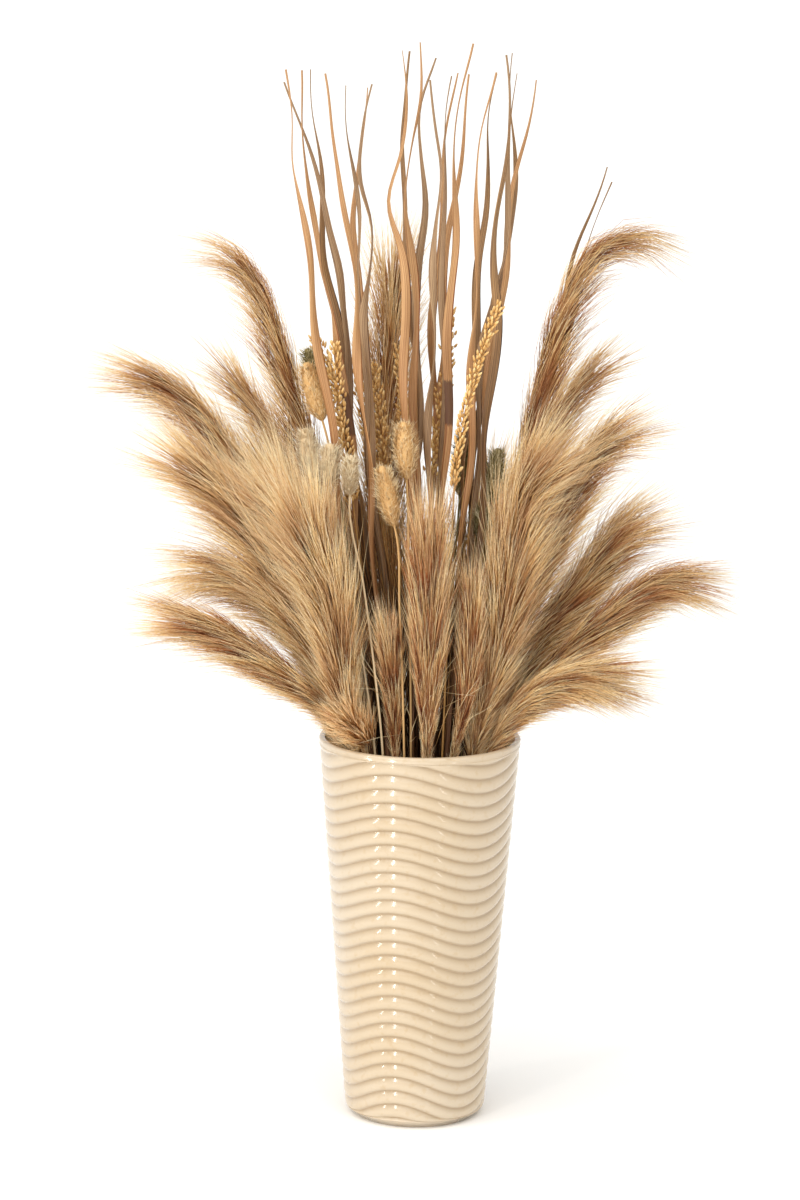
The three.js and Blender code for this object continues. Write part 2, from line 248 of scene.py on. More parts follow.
class GeometryNet(Net):
    """A Geometry Nodes tree with named inputs, wired in the script."""

    KINDS = {
        float: "NodeSocketFloat",
        int: "NodeSocketInt",
        Vector: "NodeSocketVector",
        bpy.types.Material: "NodeSocketMaterial",
    }

    def __init__(self, name: str, **inputs: type) -> None:
        """Make the tree and its interface.

        Args:
            name: the tree's name.
            inputs: type of each named input, with an underscore for each space in its name.
        """
        super().__init__(bpy.data.node_groups.new(name, "GeometryNodeTree"))
        face = self.tree.interface
        face.new_socket("Geometry", in_out="INPUT", socket_type="NodeSocketGeometry")
        face.new_socket("Geometry", in_out="OUTPUT", socket_type="NodeSocketGeometry")
        self.names: dict[str, str] = {}
        for key, kind in inputs.items():
            label = key.replace("_", " ")
            socket = face.new_socket(label, in_out="INPUT", socket_type=self.KINDS[kind])
            self.names[key] = socket.identifier
        self.source = self.tree.nodes.new("NodeGroupInput")

    def given(self, key: str) -> bpy.types.NodeSocket:
        """Return the socket of a named input."""
        return self.source.outputs[key.replace("_", " ")]

    def stored(self, name: str, kind: str = "FLOAT") -> bpy.types.NodeSocket:
        """Read a named attribute, and return its socket."""
        return self.add("GeometryNodeInputNamedAttribute", {"Name": name}, data_type=kind).outputs[0]

    def store(self, geometry: Value, name: str, value: Value, kind: str = "FLOAT",
              domain: str = "POINT") -> bpy.types.NodeSocket:
        """Keep a field as a named attribute.

        Args:
            geometry: what carries it.
            name: the attribute's name.
            value: the field.
            kind: the attribute's data type.
            domain: what it is stored on.

        Returns:
            The geometry's socket.
        """
        inputs = {"Geometry": geometry, "Name": name, "Value": value}
        node = self.add("GeometryNodeStoreNamedAttribute", inputs, data_type=kind, domain=domain)
        return node.outputs[0]

    def chance(self, low: float, high: float, salt: int) -> bpy.types.NodeSocket:
        """Draw a random number for each point.

        Args:
            low: the lowest number.
            high: the highest number.
            salt: what is added to the Seed input.

        Returns:
            The number's socket.
        """
        seed = self.math("ADD", self.given("Seed"), salt)
        inputs = {"Min": low, "Max": high, "Seed": seed}
        node = self.add("FunctionNodeRandomValue", data_type="FLOAT")
        for socket in node.inputs:
            if socket.enabled and socket.name in inputs:
                self.feed(socket, inputs[socket.name])
        return next(socket for socket in node.outputs if socket.enabled)

    def chance_vector(self, reach: float, salt: int) -> bpy.types.NodeSocket:
        """Draw a random vector within a cube for each point."""
        numbers = [self.chance(-reach, reach, salt + i) for i in range(3)]
        return self.combine(*numbers)

    def finish(self, geometry: Value, material: Value) -> None:
        """End the tree: realize what is instanced, shade it smooth and give it its material.

        Args:
            geometry: what the tree made.
            material: its finish.
        """
        whole = self.add("GeometryNodeRealizeInstances", {0: geometry}).outputs[0]
        soft = self.add("GeometryNodeSetShadeSmooth", {0: whole}).outputs[0]
        dressed = self.add("GeometryNodeSetMaterial", {"Geometry": soft, "Material": material})
        self.add("NodeGroupOutput", {0: dressed.outputs[0]})

    def run(self, carrier: bpy.types.Object, **values: Value) -> bpy.types.Object:
        """Run the tree on an object and leave it as a plain mesh with no modifier.

        Args:
            carrier: the object whose mesh the tree starts from.
            values: value of each named input.

        Returns:
            The same object, with the result as its mesh.
        """
        modifier = carrier.modifiers.new(self.tree.name, "NODES")
        modifier.node_group = self.tree
        for key, value in values.items():
            modifier[self.names[key]] = value
        graph = bpy.context.evaluated_depsgraph_get()
        seen = carrier.evaluated_get(graph)
        result = bpy.data.meshes.new_from_object(seen, preserve_all_data_layers=True, depsgraph=graph)
        carrier.modifiers.clear()
        spent = carrier.data
        carrier.data = result
        result.name = carrier.name
        bpy.data.meshes.remove(spent)
        for attribute in [a.name for a in result.attributes if a.name in SCRATCH]:
            result.attributes.remove(result.attributes[attribute])
        return carrier


def room() -> dict[str, tuple[float, float, float]]:
    """Give the corners that hairs keep within: the CAD box and a little more on every side.

    Returns:
        The two corners, by the names of the inputs that they feed.
    """
    low, high = (np.array(corner) for corner in CAD_BOX)
    spare = (high - low) * ROOM_SHARE + ROOM_SPARE
    return {
        "Low_Corner": tuple(map(float, low - spare)),
        "High_Corner": tuple(map(float, high + spare)),
    }


SCRATCH = ("core", "root", "turn", "depth", "size", "tone", "sway", "splay", "along", "ridged")


# ---------------------------------------------------------------- spines read from the CAD nodes


@dataclass
class Spine:
    """The middle line of a stem: centres, radii and, for a blade, which way its width runs."""

    points: np.ndarray
    radii: np.ndarray
    across: np.ndarray
    widths: np.ndarray

    @classmethod
    def of(cls, node: str) -> "Spine":
        """Read a node's spine from its mesh: each ring of its solid gives one station.

        Args:
            node: the CAD node's name.

        Returns:
            The spine, from the foot in the foam to the tip.
        """
        shape = bmesh.new()
        shape.from_mesh(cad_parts[node].data)
        bmesh.ops.remove_doubles(shape, verts=shape.verts, dist=0.02 * MM)
        lowest = min(vertex.co.z for vertex in shape.verts)
        level = {vertex for vertex in shape.verts if vertex.co.z < lowest + 10 * MM}
        seen = set(level)
        rings = []
        while level:
            rings.append(np.array([vertex.co[:] for vertex in level]))
            following = {edge.other_vert(vertex) for vertex in level for edge in vertex.link_edges}
            level = following - seen
            seen |= level
        shape.free()
        if len(rings[-1]) == 1:
            rings.pop()
        centres = np.array([ring.mean(axis=0) for ring in rings])
        spans = [ring - centre for ring, centre in zip(rings, centres)]
        radii = np.array([np.linalg.norm(span, axis=1).max() for span in spans])
        axes = np.array([np.linalg.svd(span, full_matrices=False)[2][0] for span in spans])
        for i in range(1, len(axes)):
            if axes[i] @ axes[i - 1] < 0:
                axes[i] = -axes[i]
        if axes[-1][0] < 0:
            axes = -axes
        widths = np.array([np.abs(span @ axis).max() for span, axis in zip(spans, axes)])
        return cls(centres, radii, axes, widths)

    def resampled(self, count: int) -> "Spine":
        """Space the stations evenly on a smooth curve through the old ones.

        Args:
            count: how many stations it gets.

        Returns:
            The new spine.
        """
        steps = np.linalg.norm(np.diff(self.points, axis=0), axis=1)
        knots = np.concatenate([[0.0], np.cumsum(steps)])
        wanted = np.linspace(0.0, knots[-1], count)
        slopes = np.gradient(self.points, knots, axis=0)
        place = np.clip(np.searchsorted(knots, wanted) - 1, 0, len(knots) - 2)
        gap = (knots[place + 1] - knots[place])[:, None]
        t = (wanted - knots[place])[:, None] / gap
        smooth = (
            (1 + 2 * t) * (1 - t) ** 2 * self.points[place]
            + t * (1 - t) ** 2 * gap * slopes[place]
            + t * t * (3 - 2 * t) * self.points[place + 1]
            + t * t * (t - 1) * gap * slopes[place + 1]
        )
        radii = np.interp(wanted, knots, self.radii)
        widths = np.interp(wanted, knots, self.widths)
        across = np.column_stack([np.interp(wanted, knots, self.across[:, i]) for i in range(3)])
        across /= np.linalg.norm(across, axis=1)[:, None]
        return Spine(smooth, radii, across, widths)

    def moved(self, foot: Sequence[float], tip: Sequence[float], slimmer: float = 1.0) -> "Spine":
        """Shift the spine to make that of a neighbour.

        Args:
            foot: shift at the foot, in millimetres.
            tip: shift at the tip, in millimetres.
            slimmer: how thick it is beside this one.

        Returns:
            The neighbour's spine.
        """
        share = np.linspace(0.0, 1.0, len(self.points))[:, None]
        shift = (1 - share) * np.array(foot) * MM + share * np.array(tip) * MM
        return Spine(self.points + shift, self.radii * slimmer, self.across, self.widths * slimmer)

    def length(self) -> float:
        """Return the length of the line through the stations."""
        return float(np.linalg.norm(np.diff(self.points, axis=0), axis=1).sum())

    def share_at_height(self, height: float) -> float:
        """Find where the spine first rises past a height.

        Args:
            height: the height in metres.

        Returns:
            The share of the spine's length below it, from 0 to 1.
        """
        steps = np.linalg.norm(np.diff(self.points, axis=0), axis=1)
        before = np.concatenate([[0.0], np.cumsum(steps)])
        index = int(np.argmax(self.points[:, 2] > height))
        return float(before[index] / before[-1])

    def guide(self, name: str) -> bpy.types.Object:
        """Make an object that is only the line, carrying the radius as the attribute core.

        Args:
            name: the object's name.

        Returns:
            The object, for a tree to run on.
        """
        mesh = bpy.data.meshes.new(name)
        edges = [(i, i + 1) for i in range(len(self.points) - 1)]
        mesh.from_pydata([tuple(point) for point in self.points], edges, [])
        core = mesh.attributes.new("core", "FLOAT", "POINT")
        core.data.foreach_set("value", self.radii.astype(np.float32))
        return new_object(name, mesh)


# ---------------------------------------------------------------- finishes


class Finish:
    """A procedural finish. Each kind wires its own nodes into a fresh material."""

    name = "finish"

    def build(self) -> bpy.types.Material:
        """Make the material, with its colour, roughness and bump wired by the finish.

        Returns:
            The material.
        """
        material = bpy.data.materials.new(self.name)
        material.use_nodes = True
        net = Net(material.node_tree)
        skin = net.add("ShaderNodeBsdfPrincipled")
        net.add("ShaderNodeOutputMaterial", {"Surface": skin.outputs[0]})
        self.wire(net, skin)
        return material

    def wire(self, net: Net, skin: bpy.types.Node) -> None:
        """Wire the finish into the shader."""
        raise NotImplementedError

    @staticmethod
    def ramp(net: Net, amount: Value, stops: Sequence[tuple[float, str]]) -> bpy.types.NodeSocket:
        """Colour a number by stops.

        Args:
            net: the material's tree.
            amount: the number.
            stops: each a place from 0 to 1 and a screen colour.

        Returns:
            The colour's socket.
        """
        node = net.add("ShaderNodeValToRGB", {0: amount})
        band = node.color_ramp.elements
        while len(band) < len(stops):
            band.new(0.5)
        for element, (place, code) in zip(band, stops):
            element.position = place
            element.color = shade(code)
        return node.outputs[0]

    @staticmethod
    def mixed(
        net: Net, share: Value, low: Value, high: Value, way: str = "MIX"
    ) -> bpy.types.NodeSocket:
        """Mix two colours.

        Args:
            net: the material's tree.
            share: how much of the second colour there is.
            low: the first colour.
            high: the second colour.
            way: the blend type.

        Returns:
            The result's socket.
        """
        node = net.add("ShaderNodeMix", data_type="RGBA", blend_type=way)
        for name, value in (("Factor", share), ("A", low), ("B", high)):
            net.feed(next(s for s in node.inputs if s.enabled and s.name == name), value)
        return next(s for s in node.outputs if s.enabled)

    @staticmethod
    def noise(net: Net, place: Value, scale: float, detail: float = 3.0) -> bpy.types.NodeSocket:
        """Return a noise value at a place."""
        inputs = {"Vector": place, "Scale": scale, "Detail": detail}
        return net.add("ShaderNodeTexNoise", inputs).outputs[0]

    @staticmethod
    def bump(net: Net, skin: bpy.types.Node, height: Value, distance: float) -> None:
        """Give the shader a bump of the stated distance in metres."""
        node = net.add("ShaderNodeBump", {"Height": height, "Distance": distance})
        net.feed(skin.inputs["Normal"], node.outputs[0])


@dataclass(frozen=True)
class CreamGlaze(Finish):
    """Glossy cream glaze with faint mottling, and painted shade that darkens it in the grooves."""

    name: str = "cream_glaze"
    thin: str = "cab9a0"
    mottled: str = "c5b091"
    # painted shade: the colour that the grooves are darkened towards
    groove_shade: str = "967a54"
    unevenness: float = 0.12 * MM

    def wire(self, net: Net, skin: bpy.types.Node) -> None:
        """Wire the glaze into the shader.

        Args:
            net: the material's tree.
            skin: the shader that it feeds.
        """
        place = net.add("ShaderNodeTexCoord").outputs["Object"]
        mottle = self.noise(net, place, 9.0)
        fine = self.noise(net, place, 160.0)
        colour = self.ramp(net, mottle, [(0.3, self.mottled), (0.62, self.thin)])
        speck = self.ramp(net, fine, [(0.25, "f2e6d2"), (0.45, "ffffff")])
        colour = self.mixed(net, 0.5, colour, speck, "MULTIPLY")
        # Painted shade: the colour darkens with each point's depth below its ridge's crest, standing in
        # for the shade in the grooves.
        painted_groove_shade = net.add("ShaderNodeAttribute", attribute_name="painted_groove_shade").outputs["Fac"]
        painted_shade = net.math("MULTIPLY", net.math("POWER", painted_groove_shade, 1.8), 0.75)
        net.feed(skin.inputs["Base Color"], self.mixed(net, painted_shade, colour, shade(self.groove_shade)))
        net.feed(skin.inputs["Roughness"], net.blend(mottle, 0.12, 0.22))
        skin.inputs["Coat Weight"].default_value = 0.5
        skin.inputs["Coat Roughness"].default_value = 0.06
        ripple = net.math("MULTIPLY_ADD", fine, 0.25, self.noise(net, place, 22.0))
        self.bump(net, skin, ripple, self.unevenness)


@dataclass(frozen=True)
class DryFoam(Finish):
    """Rigid brown florist's foam, full of fine open cells, with painted shade in the pits of the cells.
    """

    name: str = "dry_foam"
    # painted shade: the colour in the pits of the cells
    painted_shade: str = "2b2016"
    face: str = "6e5a40"
    cell: float = 900.0

    def wire(self, net: Net, skin: bpy.types.Node) -> None:
        """Wire the foam into the shader.

        Args:
            net: the material's tree.
            skin: the shader that it feeds.
        """
        place = net.add("ShaderNodeTexCoord").outputs["Object"]
        inputs = {"Vector": place, "Scale": self.cell}
        cells = net.add("ShaderNodeTexVoronoi", inputs).outputs["Distance"]
        patch = self.noise(net, place, 45.0)
        # Painted shade: the colour is darkest in the pits of the cells, where the bump is lowest; the
        # patches vary it at random.
        height = net.math("MULTIPLY", cells, patch)
        colour = self.ramp(net, height, [(0.05, self.painted_shade), (0.4, self.face)])
        net.feed(skin.inputs["Base Color"], colour)
        skin.inputs["Roughness"].default_value = 0.95
        self.bump(net, skin, cells, 0.8 * MM)


@dataclass(frozen=True)
class Strands(Finish):
    """Fine hairs: dull, with one colour ramp for the darkest hairs and one for the palest.

    Along a hair the ramps run from root to tip. A hair's own tone says how it mixes the two.
    """

    name: str = "strands"
    dark: tuple[tuple[float, str], ...] = ()
    pale: tuple[tuple[float, str], ...] = ()
    roughness: float = 0.62
    streaks: float = 38.0

    def wire(self, net: Net, skin: bpy.types.Node) -> None:
        """Wire the hair colours into the shader.

        Args:
            net: the material's tree.
            skin: the shader that it feeds.
        """
        place = net.add("ShaderNodeUVMap", uv_map=HAIR_MAP).outputs[0]
        along, tone, _ = net.split(place)
        dark = self.ramp(net, along, self.dark)
        pale = self.ramp(net, along, self.pale)
        streak = self.noise(net, net.combine(net.math("MULTIPLY", along, 0.12), tone), self.streaks)
        share = net.math("MULTIPLY_ADD", net.math("SUBTRACT", streak, 0.5), 0.7, tone)
        net.feed(skin.inputs["Base Color"], self.mixed(net, share, dark, pale))
        net.feed(skin.inputs["Roughness"], net.blend(streak, self.roughness, self.roughness + 0.15))
        skin.inputs["Specular IOR Level"].default_value = 0.3


@dataclass(frozen=True)
class DriedBlade(Finish):
    """A dried grass blade: lengthwise ribs and streaks, darker low down and at a sheath joint."""

    name: str = "blade"
    low: str = ""
    middle: str = ""
    high: str = ""
    streak: str = ""
    sheath: float = 0.0

    def wire(self, net: Net, skin: bpy.types.Node) -> None:
        """Wire the blade's colours and ribs into the shader.

        Args:
            net: the material's tree.
            skin: the shader that it feeds.
        """
        place = net.add("ShaderNodeUVMap", uv_map="Blade").outputs[0]
        along, around, _ = net.split(place)
        base = self.ramp(net, along, [(0.1, self.low), (0.5, self.middle), (0.85, self.high)])
        grain = net.combine(net.math("MULTIPLY", along, 5.0), net.math("MULTIPLY", around, 34.0))
        lines = self.noise(net, grain, 1.0, 4.0)
        marks = self.ramp(net, lines, [(0.38, self.streak), (0.58, "ffffff")])
        colour = self.mixed(net, 1.0, base, marks, "MULTIPLY")
        patches = self.noise(net, net.combine(net.math("MULTIPLY", along, 9.0), around), 1.0)
        dulled = net.math("MULTIPLY", patches, 0.35)
        colour = self.mixed(net, dulled, colour, shade(self.streak), "MULTIPLY")
        if self.sheath:
            edge = net.math("ADD", along, net.math("MULTIPLY", lines, 0.02))
            above = net.math("GREATER_THAN", edge, self.sheath - 0.035)
            below = net.math("LESS_THAN", edge, self.sheath + 0.02)
            band = net.math("MULTIPLY", above, below)
            colour = self.mixed(net, net.math("MULTIPLY", band, 0.8), colour, shade("4a2c1f"))
        net.feed(skin.inputs["Base Color"], colour)
        net.feed(skin.inputs["Roughness"], net.blend(lines, 0.42, 0.66))
        self.bump(net, skin, lines, 0.25 * MM)


@dataclass(frozen=True)
class RiceHusk(Finish):
    """Golden ribbed husks, paler at the tip of each grain."""

    name: str = "rice_husk"

    def wire(self, net: Net, skin: bpy.types.Node) -> None:
        """Wire the husks' colours into the shader.

        Args:
            net: the material's tree.
            skin: the shader that it feeds.
        """
        place = net.add("ShaderNodeUVMap", uv_map=HAIR_MAP).outputs[0]
        along, tone, _ = net.split(place)
        dark = self.ramp(net, along, [(0.0, "8a6232"), (0.4, "c08c48"), (0.9, "dbab64")])
        pale = self.ramp(net, along, [(0.0, "a87c42"), (0.4, "e2b26a"), (0.9, "f2d79c")])
        fleck = self.noise(net, net.combine(along, tone), 30.0)
        share = net.math("MULTIPLY_ADD", net.math("SUBTRACT", fleck, 0.5), 0.8, tone)
        net.feed(skin.inputs["Base Color"], self.mixed(net, share, dark, pale))
        net.feed(skin.inputs["Roughness"], net.blend(fleck, 0.6, 0.8))


# ---------------------------------------------------------------- trees that make what repeats


class StrandNet(GeometryNet):
    """Makes a stem's dense core and grows hairs from it that sweep along its spine."""

    GROWN = 0.38  # how far up the spine, past the first hair, the hairs reach their full length
    PRESSED = 0.88  # the share of what reaches past the room that is taken back
    CORE_SIDES = 9

    def __init__(self) -> None:
        """Wire the tree."""
        super().__init__(
            "strands", Hairs=int, Segments=int, Start=float, End=float, Length=float, Lean=float,
            Thickness=float, Droop=float, Sway=float, Sweep=float, Core_Share=float,
            Core_End=float, Young_Share=float, Low_Tone=float, High_Tone=float, Low_Corner=Vector,
            High_Corner=Vector, Seed=int, Material=bpy.types.Material,
        )
        curve = self.add("GeometryNodeMeshToCurve", {0: self.source.outputs[0]}).outputs[0]
        hairs = self.hair_blanks()
        hairs = self.swept(hairs, curve)
        core = self.core_tube(curve)
        both = self.add("GeometryNodeJoinGeometry")
        self.tree.links.new(hairs, both.inputs[0])
        self.tree.links.new(core, both.inputs[0])
        self.finish(both.outputs[0], self.given("Material"))

    def hair_blanks(self) -> bpy.types.NodeSocket:
        """Make one straight unit spike for each hair, carrying the hair's own random numbers.

        Returns:
            The blanks' socket.
        """
        count = self.given("Hairs")
        points = self.add("GeometryNodePoints", {"Count": count}).outputs[0]
        index = self.add("GeometryNodeInputIndex").outputs[0]
        order = self.math("DIVIDE", self.math("ADD", index, self.chance(0.0, 1.0, 1)), count)
        points = self.store(points, "root", self.blend(order, self.given("Start"), self.given("End")))
        points = self.store(points, "turn", self.chance(0.0, math.tau, 2))
        points = self.store(points, "depth", self.math("SQRT", self.chance(0.05, 1.0, 3)))
        points = self.store(points, "size", self.chance(0.6, 1.2, 4))
        tuft = self.math("MULTIPLY_ADD", self.math("SUBTRACT", self.tuft(0.0), 0.5), 1.5, 0.3)
        splay = self.math("ADD", tuft, self.math("POWER", self.chance(0.0, 0.85, 5), 1.2))
        splay = self.math("MINIMUM", self.math("MAXIMUM", splay, 0.0), 1.3)
        points = self.store(points, "splay", splay)
        streak = self.math("MULTIPLY_ADD", self.math("SUBTRACT", self.tuft(31.0), 0.5), 4.8, 0.62)
        mix = self.math("ADD", streak, self.chance(-0.3, 0.3, 6))
        mix = self.math("MINIMUM", self.math("MAXIMUM", mix, 0.0), 1.0)
        tone = self.blend(mix, self.given("Low_Tone"), self.given("High_Tone"))
        points = self.store(points, "tone", tone)
        points = self.store(points, "sway", self.chance_vector(1.0, 7), "FLOAT_VECTOR")
        spike = self.add("GeometryNodeMeshCone", {
            "Vertices": 3, "Side Segments": self.given("Segments"), "Fill Segments": 1,
            "Radius Top": 0.0, "Radius Bottom": 1.0, "Depth": 1.0,
        }).outputs["Mesh"]
        placed = self.add("GeometryNodeInstanceOnPoints", {"Points": points, "Instance": spike})
        return self.add("GeometryNodeRealizeInstances", {0: placed.outputs[0]}).outputs[0]

    def tuft(self, apart: float) -> bpy.types.NodeSocket:
        """Draw a number that neighbouring hairs share, so that they fall in tufts and streaks.

        Args:
            apart: moves the pattern, so that two draws differ.

        Returns:
            The number's socket.
        """
        turn = self.stored("turn")
        offset = self.math("MULTIPLY_ADD", self.given("Seed"), 0.73, apart)
        place = self.combine(
            self.math("MULTIPLY_ADD", self.stored("root"), 13.0, offset),
            self.math("MULTIPLY", self.math("COSINE", turn), 1.5),
            self.math("MULTIPLY", self.math("SINE", turn), 1.5),
        )
        return self.add("ShaderNodeTexNoise", {"Vector": place, "Scale": 1.0, "Detail": 1.0}).outputs[0]

    def sampled(self, curve: Value, factor: Value) -> bpy.types.Node:
        """Sample the spine at a share of its length, with its core radius as the value.

        Args:
            curve: the spine.
            factor: the share of its length.

        Returns:
            The sampling node.
        """
        node = self.add("GeometryNodeSampleCurve", {"Curves": curve, "Factor": factor}, mode="FACTOR")
        self.feed(node.inputs["Value"], self.stored("core"))
        return node

    def swept(self, blanks: Value, curve: Value) -> bpy.types.NodeSocket:
        """Lay each blank along the spine from its root, leaning out, drooping and swaying.

        Args:
            blanks: the unit spikes.
            curve: the spine.

        Returns:
            The hairs' socket.
        """
        section_x, section_y, along = self.split(self.add("GeometryNodeInputPosition").outputs[0])
        total = self.add("GeometryNodeCurveLength", {0: curve}).outputs[0]
        root, turn = self.stored("root"), self.stored("turn")
        rise = self.math("DIVIDE", self.math("SUBTRACT", root, self.given("Start")), self.GROWN)
        grown = self.blend(self.math("MINIMUM", rise, 1.0), self.given("Young_Share"), 1.0)
        length = self.math("MULTIPLY", self.given("Length"), self.stored("size"))
        length = self.math("MULTIPLY", length, grown)
        lean = self.math("MULTIPLY", self.given("Lean"), self.stored("splay"))
        run = self.math("MULTIPLY", self.math("MULTIPLY", along, length), self.math("COSINE", lean))
        reach = self.math("ADD", root, self.math("DIVIDE", run, total))
        share = self.math("MINIMUM", reach, 1.0)
        past = self.math("MULTIPLY", self.math("SUBTRACT", reach, share), total)
        here = self.sampled(curve, share)
        tangent = here.outputs["Tangent"]
        rotate = {"Vector": here.outputs["Normal"], "Axis": tangent, "Angle": turn}
        out = self.add("ShaderNodeVectorRotate", rotate, rotation_type="AXIS_ANGLE").outputs[0]
        side = self.vector("CROSS_PRODUCT", tangent, out)
        core = self.sampled(curve, root).outputs["Value"]
        base = self.math("MULTIPLY", core, self.stored("depth"))
        spread = self.math("MULTIPLY", self.math("MULTIPLY", along, length), self.math("SINE", lean))
        away = self.math("ADD", base, spread)
        bend = self.math("MULTIPLY", self.math("MULTIPLY", along, along), length)
        sag = self.math("MULTIPLY", bend, self.math("MULTIPLY", self.given("Droop"), -1.0))
        blown = self.math("MULTIPLY", bend, self.given("Sway"))
        drift = self.scaled(self.stored("sway", "FLOAT_VECTOR"), blown)
        level = self.vector("MULTIPLY", self.sampled(curve, root).outputs["Position"], (1.0, 1.0, 0.0))
        outward = self.vector("NORMALIZE", level)
        swept = self.scaled(outward, self.math("MULTIPLY", bend, self.given("Sweep")))
        full = self.math("MULTIPLY_ADD", along, self.math("ADD", along, 1.0), 1.0)
        thick = self.math("MULTIPLY", self.given("Thickness"), full)
        place = self.total(
            here.outputs["Position"],
            self.scaled(tangent, past),
            self.scaled(out, self.math("MULTIPLY_ADD", section_x, thick, away)),
            self.scaled(side, self.math("MULTIPLY", section_y, thick)),
            self.combine(z=sag),
            drift,
            swept,
        )
        place = self.kept_in_room(place)
        keyed = self.store(blanks, "along", along)
        laid = self.add("GeometryNodeSetPosition", {"Geometry": keyed, "Position": place}).outputs[0]
        inset = self.math("MULTIPLY_ADD", self.stored("along"), 0.94, 0.03)
        spot = self.combine(inset, self.stored("tone"))
        return self.store(laid, HAIR_MAP, spot, "FLOAT2", "CORNER")

    def kept_in_room(self, place: Value) -> bpy.types.NodeSocket:
        """Press hairs back softly where they would reach past the room's corners.

        Args:
            place: where each point would be.

        Returns:
            Where it is put.
        """
        still = (0.0, 0.0, 0.0)
        over = self.vector("MAXIMUM", self.vector("SUBTRACT", place, self.given("High_Corner")), still)
        under = self.vector("MAXIMUM", self.vector("SUBTRACT", self.given("Low_Corner"), place), still)
        excess = self.vector("SUBTRACT", under, over)
        return self.vector("ADD", place, self.scaled(excess, self.PRESSED))

    def core_tube(self, curve: Value) -> bpy.types.NodeSocket:
        """Make the dense middle of the head and the stem below it, coloured as hair roots.

        Args:
            curve: the spine.

        Returns:
            The tube's socket.
        """
        trimmed = {"Curve": curve, "End": self.given("Core_End")}
        curve = self.add("GeometryNodeTrimCurve", trimmed).outputs[0]
        section = {"Resolution": self.CORE_SIDES, "Radius": 1.0}
        circle = self.add("GeometryNodeCurvePrimitiveCircle", section).outputs[0]
        radius = self.math("MULTIPLY", self.stored("core"), self.given("Core_Share"))
        girth = self.math("MAXIMUM", radius, 1.0 * MM)
        wide = {"Curve": curve, "Profile Curve": circle, "Scale": girth, "Fill Caps": True}
        tube = self.add("GeometryNodeCurveToMesh", wide).outputs[0]
        place = self.add("GeometryNodeInputPosition").outputs[0]
        streak = self.add("ShaderNodeTexNoise", {"Vector": place, "Scale": 240.0}).outputs[0]
        shade_along = self.math("MULTIPLY_ADD", streak, 0.5, 0.1)
        spot = self.combine(shade_along, self.math("ADD", self.given("Low_Tone"), 0.25))
        return self.store(tube, HAIR_MAP, spot, "FLOAT2", "CORNER")


